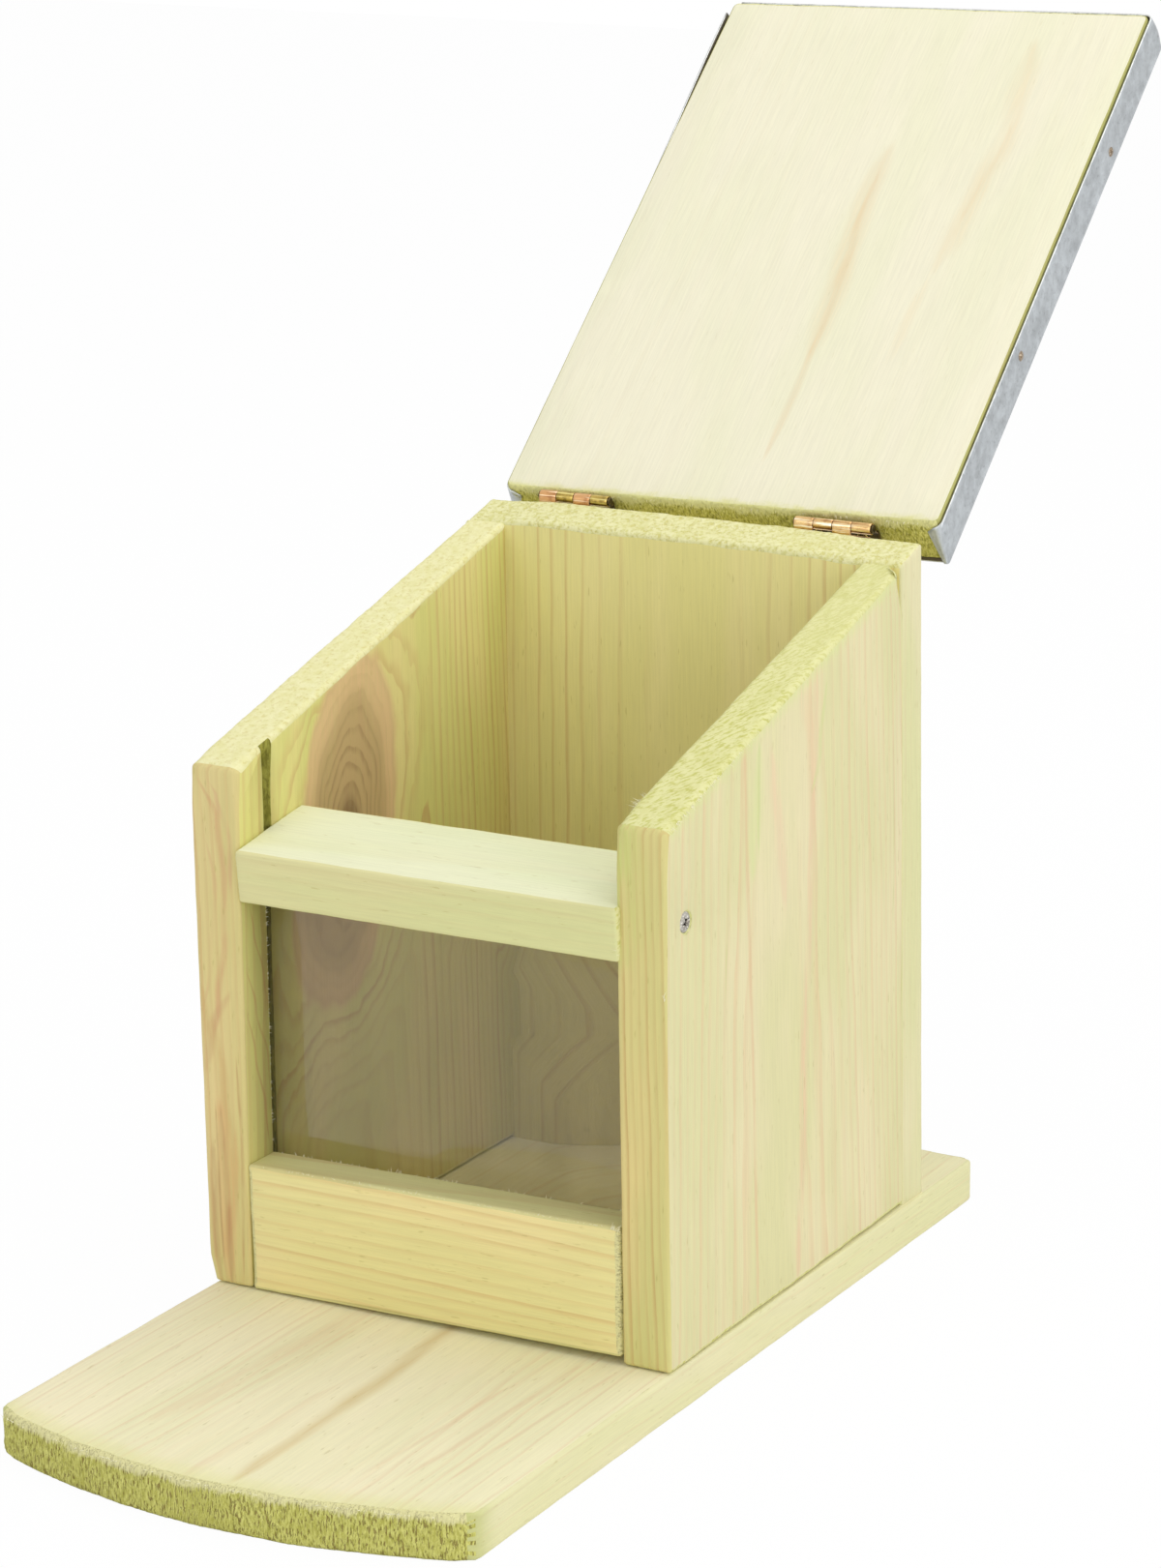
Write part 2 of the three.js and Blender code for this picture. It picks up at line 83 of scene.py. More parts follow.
def leanBox(point):
    v = boxLean
    side = min(1.0, max(0.0, (point.x + v["halfWidth"]) / (2 * v["halfWidth"])))
    back = min(1.0, max(0.0, (point.y - v["front"]) / v["depth"]))
    top = v["frontHeight"] + (point.y - v["front"]) * v["rise"]
    height = max(0.0, (point.z - v["floor"]) / top)
    moved = point.copy()
    for axis, place in enumerate(("x", "z")):
        levels = []
        for corners in (v["bottom"], v["top"]):
            front = blendBetween(corners["leftFront"][axis], corners["rightFront"][axis], side)
            rear = blendBetween(corners["leftRear"][axis], corners["rightRear"][axis], side)
            levels.append(blendBetween(front, rear, back))
        setattr(moved, place, getattr(point, place) + blendBetween(*levels, height))
    return moved


# The lid's own frame: its pin is the origin, the lid runs towards -Y, and +Z is its roof side.
hinge = {"pin": (0, 116.9, 197.964), "turn": -138.7, "lidShift": 1.45}
pinLine = Matrix.Translation(hinge["pin"])
opened = Matrix.Rotation(math.radians(hinge["turn"]), 4, "X")
lidFrame = Matrix.Translation((hinge["lidShift"], 0, 0)) @ pinLine @ opened
lidTwist = {
    "halfWidth": 66.5, "end": -1.9, "length": 187,
    "nearLeft": (0.2, -0.43, 1.4), "nearRight": (-0.85, -2.3, 0.8),
    "farLeft": (0.7, 1.1, 0.8), "farRight": (-0.6, 0, -0.2),
}


def twistLid(point):  # in the lid's frame
    v = lidTwist
    side = (point.x + v["halfWidth"]) / (2 * v["halfWidth"])
    near = Vector(v["nearLeft"]).lerp(Vector(v["nearRight"]), side)
    far = Vector(v["farLeft"]).lerp(Vector(v["farRight"]), side)
    return point + near.lerp(far, (v["end"] - point.y) / v["length"])


def paint(red, green, blue):  # a screen colour as Blender's linear one
    parts = [c / 255 for c in (red, green, blue)]
    return [c / 12.92 if c <= 0.04045 else ((c + 0.055) / 1.055) ** 2.4 for c in parts] + [1.0]


def feed(socket, value):
    if isinstance(value, bpy.types.NodeSocket):
        socket.id_data.links.new(value, socket)
    else:
        socket.default_value = value


class Wiring:  # the nodes of one material or of the world
    def __init__(self, owner):
        owner.use_nodes = True
        self.tree = owner.node_tree

    def node(self, kind, inputs=None, **settings):
        made = self.tree.nodes.new("ShaderNode" + kind)
        for key, value in settings.items():
            setattr(made, key, value)
        for key, value in (inputs or {}).items():
            feed(made.inputs[key], value)
        return made

    def calc(self, operation, *values):
        return self.node("Math", dict(enumerate(values)), operation=operation).outputs[0]

    def plus(self, first, second):
        return self.calc("ADD", first, second)

    def minus(self, first, second):
        return self.calc("SUBTRACT", first, second)

    def apart(self, first, second):
        return self.calc("ABSOLUTE", self.minus(first, second))

    def times(self, value, by, plus=None):
        if plus is None:
            return self.calc("MULTIPLY", value, by)
        return self.calc("MULTIPLY_ADD", value, by, plus)

    def seenRays(self):  # 1 where the camera looks at it straight, in a gloss or through the pane
        rays = self.node("LightPath").outputs
        seen = self.calc("MAXIMUM", rays["Is Camera Ray"], rays["Is Glossy Ray"])
        return self.calc("MAXIMUM", seen, rays["Is Transmission Ray"])


class Finish(Wiring):  # one procedural material while it is being wired
    sockets = {"base": "Base Color", "ior": "IOR", "shine": "Specular IOR Level", "metallic": "Metallic",
               "roughness": "Roughness", "transmission": "Transmission Weight"}

    def __init__(self, name):
        self.material = bpy.data.materials.new(name)
        super().__init__(self.material)
        self.shader = self.tree.nodes["Principled BSDF"]

    def grain(self):  # along, across and through the board
        return self.node("Attribute", attribute_name="grain").outputs["Vector"]

    def place(self):
        return self.node("TexCoord").outputs["Object"]

    def split(self, vector):
        return self.node("SeparateXYZ", {0: vector}).outputs

    def reach(self, vector, way):  # how far a place lies along a direction
        return self.node("VectorMath", {0: vector, 1: way}, operation="DOT_PRODUCT").outputs["Value"]

    def noise(self, vector, scale=(1, 1, 1), detail=2.0, roughness=0.5):
        stretched = self.node("VectorMath", {0: vector, 1: scale}, operation="MULTIPLY").outputs[0]
        inputs = {"Vector": stretched, "Scale": 1.0, "Detail": detail, "Roughness": roughness}
        return self.node("TexNoise", inputs).outputs["Fac"]

    def ramp(self, value, low, high, bottom=0.0, top=1.0):
        inputs = {"Value": value, "From Min": low, "From Max": high, "To Min": bottom, "To Max": top}
        return self.node("MapRange", inputs, interpolation_type="SMOOTHSTEP").outputs[0]

    def mix(self, share, first, second, how="MIX"):
        return self.node("Mix", {0: share, 6: first, 7: second}, data_type="RGBA", blend_type=how).outputs[2]

    def shade(self, colour, level):  # the colour made lighter or darker
        grey = self.node("CombineColor", {0: level, 1: level, 2: level}).outputs[0]
        return self.mix(1.0, colour, grey, "MULTIPLY")

    def bump(self, height, depth, strength=1.0):
        inputs = {"Height": height, "Distance": depth * mm, "Strength": strength}
        feed(self.shader.inputs["Normal"], self.node("Bump", inputs).outputs[0])

    def dress(self, **inputs):
        for key, value in inputs.items():
            feed(self.shader.inputs[self.sockets[key]], value)
        return self.material


# Each board's own wood. Tones of the face and of the edge are (pale, green, tan). The pith is where the
# tree's middle lay, across and through the board, and rings fade out over the calm width either side of
# it. A streak is (path of (along, sideways) places, width, tone, share, how whole it stays).
plainWood = {
    "taper": 0.01, "wander": 4, "even": 0.3, "edgeRings": 0.5, "calm": 0, "late": 0.42, "fleck": 0.3,
    "knot": None, "streaks": [], "edgeStreaks": [], "stain": None, "edgeStain": None,
}
woods = {
    "rightSide": {
        "face": ((230, 220, 178), (221, 216, 166), (224, 194, 152)),
        "edge": ((226, 209, 144), (214, 208, 138), (202, 168, 108)),
        "pith": (27, -84), "ringGap": 1.7, "taper": 0.012, "wander": 3, "even": 0.4, "rings": 0.56,
        "edgeRings": 0.7, "calm": 13,
        "streaks": [
            ([(8, 36.5), (60, 41), (138, 47), (185, 50)], 3.2, (229, 199, 162), 0.8),
            ([(8, 13.8), (60, 13), (147, 9.2), (175, 8)], 1.5, (222, 192, 150), 0.8),
            ([(112, 31), (123, 30), (137, 28.4), (153, 24.4), (166, 22)], 4.6, (231, 206, 170), 0.75, 0.7),
            ([(142, 49), (153, 47), (170, 42), (180, 39)], 3.4, (229, 208, 168), 0.65, 0.7),
            ([(125, 12), (136, 13), (151, 15.7), (168, 17)], 5, (214, 221, 156), 0.75, 0.7),
            ([(140, 46), (154, 51.3), (175, 56)], 2, (206, 214, 146), 0.6),
            ([(60, 101), (120, 104), (180, 103)], 0.7, (186, 186, 110), 0.55),
            ([(90, 96), (118, 97), (150, 96.5)], 0.6, (190, 190, 116), 0.5),
            ([(130, 16), (168, 16.5)], 1.2, (198, 208, 138), 0.65),
            ([(95, -3), (140, -1)], 0.8, (198, 206, 136), 0.5),
        ],
        "stain": {"at": 163.84, "rise": 0.2811, "reach": 3.2, "fade": 5, "tone": (219, 224, 158),
                  "share": 0.8, "torn": (0.2, 0.8, 0.5)},
        "edgeStreaks": [([(112, 2), (172, 2)], 7, (200, 210, 126), 0.65)],
    },
    "leftSide": {
        "face": ((232, 219, 148), (221, 217, 136), (206, 174, 114)),
        "edge": ((228, 209, 150), (217, 205, 138), (210, 172, 120)),
        "pith": (20, -60), "ringGap": 1.9, "taper": 0.012, "rings": 0.75,
        "streaks": [
            ([(60, -23.4), (73, -24), (88, -29), (103, -33.6)], 0.7, (206, 160, 108), 0.6, 0.7),
            ([(46, -24.4), (60, -26), (76, -30), (92, -34)], 0.7, (206, 160, 108), 0.6, 0.7),
            ([(84, -23.2), (96, -25), (109, -29), (119, -31)], 0.6, (208, 164, 112), 0.6, 0.7),
        ],
        "stain": {"at": 163.84, "rise": 0.2811, "reach": 1.6, "tone": (234, 229, 170), "share": 0.7,
                  "torn": (0.3, 0.5, 0.5)},
        "knot": {
            "across": 17.5, "along": 124, "wide": 23, "tall": 46, "lift": 13, "arcs": 10, "turn": 0.12,
            "lines": 0.6, "brown": (196, 168, 120), "pink": (224, 192, 142), "core": (136, 108, 76),
            "line": (156, 126, 86),
        },
        "edgeStreaks": [
            ([(76, 3.4), (92, 5.2), (108, 7.4), (125, 7.9), (140, 6.4), (154, 1)], 1.5, (212, 168, 124),
             0.7, 0.4),
            ([(118, 9.4), (134, 9.6), (146, 6.6), (152, 4)], 1.2, (214, 170, 132), 0.55),
            ([(84, 1), (100, 3.4), (122, 5.6), (138, 3.2)], 1, (216, 178, 132), 0.5),
            ([(15, 4.5), (45, 8), (70, 6), (92, 1), (100, -1)], 2.4, (208, 172, 114), 0.55),
            ([(8, 5.8), (23, 5.6), (45, 5.6), (68, 5)], 3.9, (222, 180, 126), 0.75, 0.7),
            ([(6, 2.8), (30, 1.9), (56, 2.2)], 1.7, (182, 138, 96), 0.6, 0.6),
            ([(6, 6.4), (36, 5.8), (66, 4.8)], 1.4, (178, 134, 92), 0.65, 0.5),
            ([(68, 1.2), (82, 3.2), (96, 8.6)], 2.2, (206, 166, 122), 0.5, 0.6),
            ([(10, 9.8), (50, 10.4), (80, 9.6)], 0.7, (188, 146, 96), 0.65),
            ([(10, 4.4), (36, 3.6), (66, 3.4)], 0.5, (176, 132, 88), 0.7),
        ],
    },
    "back": {
        "face": ((242, 231, 163), (235, 227, 152), (208, 172, 112)),
        "edge": ((228, 221, 178), (220, 218, 166), (219, 200, 158)),
        "pith": (4, -52), "ringGap": 2.5, "taper": 0.003, "wander": 1.4, "even": 0.25, "rings": 0.6,
        "calm": 15, "late": 0.68,
    },
    "front": {
        "face": ((244, 228, 166), (237, 227, 161), (220, 187, 126)),
        "edge": ((224, 218, 158), (220, 216, 152), (212, 194, 136)),
        "pith": (-52, -26), "ringGap": 3.3, "taper": 0.025, "wander": 7, "rings": 0.6, "edgeRings": 0.7,
        # A dark olive line along the foot: partly the arris's own ragged tone, partly painted shade of the
        # joint with the base.
        "streaks": [([(-58, 12.5), (58, 12.5)], 1.2, (146, 140, 66), 0.9, 0.8)],
        "stain": {"at": 55.4, "reach": 0.6, "fade": 1.2, "tone": (150, 144, 70), "share": 0.8,
                  "torn": (0.8, 0.8, 0.8)},
    },
    "rail": {
        "face": ((234, 235, 200), (229, 233, 193), (227, 221, 178)),
        "edge": ((225, 219, 164), (221, 221, 162), (214, 200, 146)),
        "pith": (14, -90), "ringGap": 3.4, "rings": 0.3, "edgeRings": 0.35,
    },
    "base": {
        "face": ((244, 236, 200), (238, 233, 193), (224, 192, 152)),
        "edge": ((232, 226, 184), (228, 225, 176), (226, 206, 164)),
        "pith": (8, -60), "ringGap": 1.4, "even": 0.1, "rings": 0.37, "edgeRings": 0.4, "calm": 9,
        "streaks": [
            ([(-146, 7.6), (-115, 7.5), (-78, 6.8), (-37, 4.3), (10, 3)], 3.6, (219, 199, 148), 0.85, 0.85),
            ([(-125, -30), (-85, -26), (-45, -23), (-20, -22)], 5, (229, 206, 168), 0.5),
            ([(-90, -20), (-60, -18), (-30, -17)], 1.6, (226, 198, 156), 0.6),
            ([(-128, 33), (-80, 36), (-34, 38)], 1.4, (229, 204, 166), 0.6),
            ([(-124, 43), (-80, 45), (-34, 46)], 1.6, (226, 200, 162), 0.65),
            ([(-120, 53), (-80, 54), (-34, 56)], 1.1, (226, 200, 162), 0.6),
        ],
        "stain": {"at": -145, "bow": 0.00293, "reach": 3, "fade": 11, "tone": (227, 225, 160), "share": 0.65,
                  "torn": (0.3, 0.3, 0.3)},
        "edgeStain": {"at": -134, "reach": 1.5, "fade": 15, "tone": (194, 197, 126), "share": 1},
    },
    "lid": {
        "face": ((239, 234, 208), (236, 233, 203), (234, 225, 196)),
        "edge": ((186, 182, 112), (176, 176, 106), (162, 152, 90)),
        "pith": (12, 70), "ringGap": 3.4, "taper": 0.012, "wander": 6, "rings": 0.24, "calm": 12,
        "fleck": 0.12,
        "streaks": [
            ([(-140, 5.2), (-116, 4.2), (-98, 5.4), (-78, 7.6), (-50, 8.4)], 5.4, (229, 206, 164), 0.42, 0.8),
            ([(-130, 4.4), (-110, 4.4), (-90, 6.6), (-66, 8), (-38, 8.6), (-14, 8.2)], 1.8, (222, 194, 148),
             0.36, 0.8),
            ([(-182, 35.8), (-157, 37.8), (-138, 39.6), (-122, 37.9), (-104, 36), (-84, 34.2)], 5.2,
             (231, 209, 168), 0.4, 0.7),
            ([(-150, 38.4), (-138, 39.3), (-122, 37.7), (-104, 35.8)], 1.6, (228, 204, 160), 0.3, 0.7),
            ([(-90, 34), (-70, 33), (-52, 32.5)], 3, (236, 219, 182), 0.34),
        ],
        "stain": {"at": -1.9, "reach": 2.6, "tone": (222, 219, 150), "share": 0.85},
    },
}

# The sawn ends: tones of the tufts, of the hollows and of the pits in them.
sawnWood = {
    "slope": {
        "tones": ((225, 223, 164), (199, 198, 114), (190, 182, 104)), "pits": 0.15, "depth": 0.24,
        "tuft": (1.3, 1.3, 1.3), "hole": (0.8, 1.1, 0.6), "cover": (0.36, 0.54),
        "teeth": {"way": (0.245, 0.874, 0.42), "side": (-0.113, -0.404, 0.908), "scale": (0.36, 1.25, 1),
                  "fade": (5, 75)},
    },
    "softSlope": {
        "tones": ((237, 233, 184), (227, 222, 160), (206, 190, 112)), "pits": 0.35, "depth": 0.14,
        "tuft": (0.6, 0.45, 0.6), "hole": (0.6, 0.8, 0.9), "cover": (0.3, 0.66),
    },
    "backTop": {
        "tones": ((234, 231, 180), (216, 212, 142), (206, 196, 110)), "pits": 0.5, "depth": 0.3,
        "tuft": (0.8, 0.7, 0.8), "hole": (0.6, 0.7, 0.7), "cover": (0.34, 0.6),
    },
    "base": {
        "tones": ((222, 220, 130), (184, 181, 90), (128, 100, 54)), "pits": 0.7, "depth": 0.6,
        "tuft": (1.2, 2.1, 0.5), "hole": (1.2, 2.2, 0.5), "cover": (0.36, 0.64),
        "brow": {"at": 12, "reach": 2.6, "tone": (237, 231, 176)},
    },
    "lid": {
        "tones": ((222, 217, 128), (176, 172, 78), (120, 116, 46)), "pits": 0.55, "depth": 0.45,
        "tuft": (1.5, 1.9, 0.8), "hole": (1.3, 1.5, 0.7), "cover": (0.36, 0.64),
        "brow": {"at": 0, "reach": 3.2, "tone": (230, 227, 162)},
    },
    "splinter": {
        "tones": ((246, 243, 216), (236, 231, 186), (216, 204, 140)), "pits": 0.3, "depth": 0.05,
        "tuft": (1, 1, 1), "hole": (1, 1, 1), "cover": (0.3, 0.6),
    },
    # The groove's walls are dark olive: sawn wood with painted shade of the narrow slot.
    "groove": {
        "tones": ((172, 168, 80), (132, 128, 52), (92, 86, 36)), "pits": 0.35, "depth": 0.3,
        "tuft": (0.3, 1.1, 1.1), "hole": (0.5, 1.1, 0.9), "cover": (0.36, 0.62),
    },
}
plainStain = {"rise": 0, "bow": 0, "fade": 2.2, "torn": (0.25, 0.16, 0.16)}
knotSquareness, partlyWhole, fleckTone = 2.3, 0.35, (176, 160, 84)


def pineFinish(name, wood, onEdge):
    f = Finish(name)
    grain = f.grain()
    along, across, through = f.split(grain)
    sideways = through if onEdge else across
    slow = f.minus(f.noise(grain, (0.007, 0.03, 0.03), 1.0), 0.5)
    ripple = f.minus(f.noise(grain, (0.03, 0.22, 0.22), 1.0), 0.5)
    broken = f.noise(grain, (0.05, 0.4, 0.4), 3.0, 0.6)
    fibre = f.noise(grain, (0.06, 1.7, 1.7), 3.0, 0.6)
    fromPith = f.minus(across, wood["pith"][0])
    deep = f.minus(through, wood["pith"][1])
    radius = f.calc("SQRT", f.plus(f.calc("POWER", fromPith, 2), f.calc("POWER", deep, 2)))
    radius = f.times(along, wood["taper"], radius)
    radius = f.times(slow, wood["wander"], radius)
    radius = f.times(ripple, 0.9, radius)

    knot = wood["knot"]
    if knot:  # the rings bulge round it
        up = f.minus(along, knot["along"])
        out = f.times(up, -knot["turn"], f.minus(across, knot["across"]))
        powers = []
        for part, size in ((out, knot["wide"]), (up, knot["tall"])):
            powers.append(f.calc("POWER", f.calc("ABSOLUTE", f.calc("DIVIDE", part, size)), knotSquareness))
        away = f.calc("POWER", f.plus(*powers), 1 / knotSquareness)
        away = f.times(f.minus(f.noise(grain, (0.05, 0.1, 0.1)), 0.5), 0.22, away)
        radius = f.times(f.ramp(away, 1.9, 0.8), knot["lift"], radius)

    count = f.calc("DIVIDE", radius, wood["ringGap"])
    year = f.node("TexWhiteNoise", {"W": f.calc("FLOOR", count)}, noise_dimensions="1D").outputs["Value"]
    phase = f.calc("FRACT", count)
    late = f.times(f.ramp(phase, wood["late"], 0.9), f.ramp(phase, 1.0, 0.93))
    late = f.times(late, f.ramp(year, 0.0, 1.0, wood["even"], 1.0))
    late = f.times(late, f.ramp(broken, 0.35, 0.6, 0.7, 1.0))
    late = f.times(late, wood["edgeRings" if onEdge else "rings"])
    if wood["calm"] and not onEdge:
        late = f.times(late, f.ramp(f.calc("ABSOLUTE", fromPith), wood["calm"] * 0.7, wood["calm"] * 1.5))
    pale, green, tan = (paint(*tone) for tone in wood["edge" if onEdge else "face"])
    patch = f.noise(grain, (0.012, 0.05, 0.05))
    colour = f.mix(f.ramp(patch, 0.35, 0.65), pale, green)
    colour = f.mix(late, colour, tan)

    if knot and not onEdge:
        brown, pink, core, line = (paint(*knot[k]) for k in ("brown", "pink", "core", "line"))
        body = f.mix(f.ramp(away, 0.68, 0.9), brown, pink)
        arc = f.calc("FRACT", f.times(away, knot["arcs"]))
        arc = f.times(f.ramp(arc, 0.4, 0.88), f.ramp(arc, 1.0, 0.9))
        arc = f.times(arc, f.ramp(away, 0.85, 0.45, 0.12, knot["lines"]))
        arc = f.times(arc, f.ramp(broken, 0.35, 0.55, 0.5, 1.0))
        body = f.mix(arc, body, line)
        body = f.mix(f.ramp(away, 0.32, 0.1), body, core)
        colour = f.mix(f.times(f.ramp(away, 1.08, 0.96), f.ramp(fibre, 0.3, 0.7, 0.8, 1.0)), colour, body)

    for path, wide, tone, most, *whole in wood["edgeStreaks" if onEdge else "streaks"]:
        (start, place), end = path[0], path[-1][0]
        for (low, here), (high, there) in zip(path, path[1:]):
            place = f.plus(f.ramp(along, low, high, 0.0, there - here), place)
        place = f.times(ripple, wide * 0.9, place)
        soft = min(18, (end - start) * 0.35)
        taper = f.times(f.ramp(along, start, start + soft), f.ramp(along, end, end - soft))
        width = f.times(taper, wide * 0.7, wide * 0.3)
        share = f.ramp(f.calc("DIVIDE", f.apart(sideways, place), width), 1.0, 0.1, 0.0, most)
        share = f.times(share, f.ramp(taper, 0.0, 0.4))
        share = f.times(share, f.ramp(broken, 0.38, 0.58, *(whole or [partlyWhole]), 1.0))
        share = f.times(share, f.ramp(fibre, 0.3, 0.65, 0.55, 1.0))
        colour = f.mix(share, colour, paint(*tone))

    stain = wood["edgeStain" if onEdge else "stain"]
    if stain:  # the sawn end's fuzz creeps over the arris
        stain = {**plainStain, **stain}
        lying = f.times(across, -stain["rise"], along)
        lying = f.times(f.calc("POWER", across, 2), -stain["bow"], lying)
        torn = f.noise(grain, stain["torn"], 4.0, 0.65)
        ragged = f.times(torn, stain["reach"] * 2.4, -stain["reach"])
        inFrom = f.minus(f.apart(lying, stain["at"]), ragged)
        share = f.ramp(inFrom, stain["fade"], -0.8, 0.0, stain["share"])
        colour = f.mix(share, colour, paint(*stain["tone"]))

    fleck = f.noise(grain, (0.22, 1.3, 1.3), 1.0)
    colour = f.mix(f.ramp(fleck, 0.68, 0.8, 0.0, wood["fleck"]), colour, paint(*fleckTone))
    colour = f.shade(colour, f.ramp(fibre, 0.25, 0.75, 0.95, 1.02))
    f.bump(f.times(late, 0.5, fibre), 0.14, 0.55)
    return f.dress(base=colour, roughness=0.8, shine=0.25)


def sawnFinish(name, look):
    f = Finish(name)
    grain = f.grain()
    light, dark, pit = (paint(*tone) for tone in look["tones"])
    height = tuft = f.noise(grain, look["tuft"], 4.0, 0.65)
    coarse = f.noise(grain, (0.1, 0.12, 0.2))
    hole = f.noise(grain, look["hole"], 2.0, 0.6)
    teeth, brow = look.get("teeth"), look.get("brow")
    if teeth:  # the saw left rows of short slanting dashes, which fade out towards the back
        rows = f.node("CombineXYZ", {0: f.reach(grain, teeth["way"]), 1: f.reach(grain, teeth["side"])})
        dash = f.noise(rows.outputs[0], teeth["scale"], 2.0, 0.55)
        height = f.times(dash, 0.75, f.times(tuft, 0.25))
    cover = f.ramp(height, *look["cover"])
    if teeth:
        cover = f.calc("MAXIMUM", cover, f.ramp(f.split(grain)[1], *teeth["fade"], 0.0, 0.65))
    colour = f.mix(cover, dark, light)
    colour = f.mix(f.ramp(coarse, 0.45, 0.7, 0.0, 0.3), colour, dark)
    pits = f.ramp(hole, 0.55, 0.64, 0.0, look["pits"])
    colour = f.mix(pits, colour, pit)
    if brow:  # the torn arris under the planed face is paler
        ragged = f.times(f.plus(tuft, coarse), brow["reach"] * 1.5, -1.5 * brow["reach"])
        inFrom = f.minus(f.apart(f.split(grain)[2], brow["at"]), ragged)
        share = f.ramp(inFrom, brow["reach"], brow["reach"] * 0.3, 0.0, 0.85)
        colour = f.mix(share, colour, paint(*brow["tone"]))
    f.bump(f.minus(height, pits), look["depth"], 0.8)
    return f.dress(base=colour, roughness=0.9, shine=0.15)


def clearFinish(name):
    f = Finish(name)
    smear = f.noise(f.place(), (30, 30, 12), 3.0)
    colour = f.mix(f.ramp(smear, 0.4, 0.7), paint(226, 222, 212), paint(208, 203, 192))
    return f.dress(base=colour, roughness=0.003, ior=1.45, shine=0.3, transmission=0.97)


def galvanisedFinish(name, tone, roughness):
    f = Finish(name)
    where = f.place()
    cells = f.node("TexVoronoi", {"Vector": where, "Scale": 340.0, "Randomness": 1.0}, feature="F1")
    spangle = f.node("SeparateColor", {0: cells.outputs["Color"]}).outputs[0]
    cloud = f.noise(where, (60, 60, 60), 3.0)
    scratch = f.noise(where, (1500, 260, 260), 3.0, 0.6)
    speck = f.noise(where, (900, 900, 900))
    light = f.plus(f.ramp(spangle, 0.0, 1.0, -0.07, 0.07), f.ramp(cloud, 0.3, 0.7, 0.93, 1.05))
    light = f.plus(light, f.ramp(scratch, 0.3, 0.7, -0.13, 0.1))
    light = f.times(f.ramp(speck, 0.56, 0.72), -0.18, light)
    colour = f.shade(paint(*tone), light)
    f.bump(f.times(spangle, 0.4, cloud), 0.05, 0.4)
    return f.dress(base=colour, metallic=0.75, roughness=f.times(spangle, 0.12, roughness))


def platedFinish(name, tone, worn, paintedHighlight, roughness):
    # Lines that run along the rolled barrel: the darker ones are partly rubbed plating and partly painted
    # dark reflection bands, the lighter ones are painted highlights; the tarnish patches are the metal's own.
    f = Finish(name)
    where = f.place()
    tone, worn, paintedHighlight = paint(*tone), paint(*worn), paint(*paintedHighlight)
    tarnish = f.noise(where, (420, 420, 420), 3.0)
    line = f.noise(where, (90, 1900, 1900), 2.0, 0.6)
    colour = f.mix(f.ramp(tarnish, 0.48, 0.7, 0.0, 0.7), tone, worn)
    # darker lines: partly rubbed plating, partly painted dark reflection bands
    colour = f.mix(f.ramp(line, 0.44, 0.3, 0.0, 0.85), colour, worn)
    # lighter lines: painted highlights along the barrel
    colour = f.mix(f.ramp(line, 0.55, 0.68), colour, paintedHighlight)
    f.bump(line, 0.04, 0.5)
    return f.dress(base=colour, metallic=1.0, roughness=f.times(line, 0.2, roughness - 0.1))


sheetLooks = {  # name, tone and roughness
    "galvanised": ("galvanisedSheet", (188, 193, 196), 0.36),
    "sheetRim": ("sheetCutEdge", (208, 210, 208), 0.3),
    # The sheet's inner side is painted dark brown-grey: painted shade on the inner faces of the folded
    # flanges.
    "sheetBack": ("sheetInside", (112, 104, 90), 0.55),
}
platedLooks = {  # name, plating, worn tone, painted highlight tone, and roughness
    "copper": ("copperBarrel", (214, 164, 112), (160, 106, 66), (250, 224, 186), 0.3),
    "brass": ("brassBarrel", (196, 170, 92), (128, 106, 50), (240, 226, 150), 0.28),
    "gilt": ("giltBarrel", (226, 190, 132), (172, 124, 76), (255, 242, 208), 0.26),
    # The leaf plates and the pins are painted dark brown: painted shade of the gap between the lid and the
    # back board.
    "leafPlate": ("dullLeafPlate", (84, 74, 50), (52, 44, 28), (150, 128, 84), 0.45),
    "leafRim": ("leafRim", (206, 168, 126), (140, 104, 72), (248, 226, 196), 0.3),
    "zinc": ("zincScrew", (186, 182, 172), (118, 110, 98), (240, 236, 226), 0.3),
    # The cross recess is painted near black: painted shade in the hollow of the recess.
    "recess": ("screwRecess", (58, 52, 48), (34, 30, 28), (110, 102, 94), 0.5),
    "nail": ("copperNail", (156, 138, 116), (100, 84, 68), (210, 194, 172), 0.42),
    "nailRim": ("copperNailRim", (150, 136, 120), (96, 84, 72), (196, 184, 166), 0.42),
}
finishes = {"clear": clearFinish("clearPane")}
for key, wood in woods.items():
    finishes[key] = pineFinish(key + "Face", {**plainWood, **wood}, onEdge=False)
    finishes[key + "Edge"] = pineFinish(key + "EdgeGrain", {**plainWood, **wood}, onEdge=True)
for key, cut in sawnWood.items():
    finishes[key + "Sawn"] = sawnFinish(key + "SawnEnd", cut)
finishes.update({key: galvanisedFinish(*look) for key, look in sheetLooks.items()})
finishes.update({key: platedFinish(*look) for key, look in platedLooks.items()})
print("stage: materials", len(finishes))


holeSides, sameSpot, arcStep, rimClearance, faceInset = 20, 0.02, math.radians(22), 3, 0.7


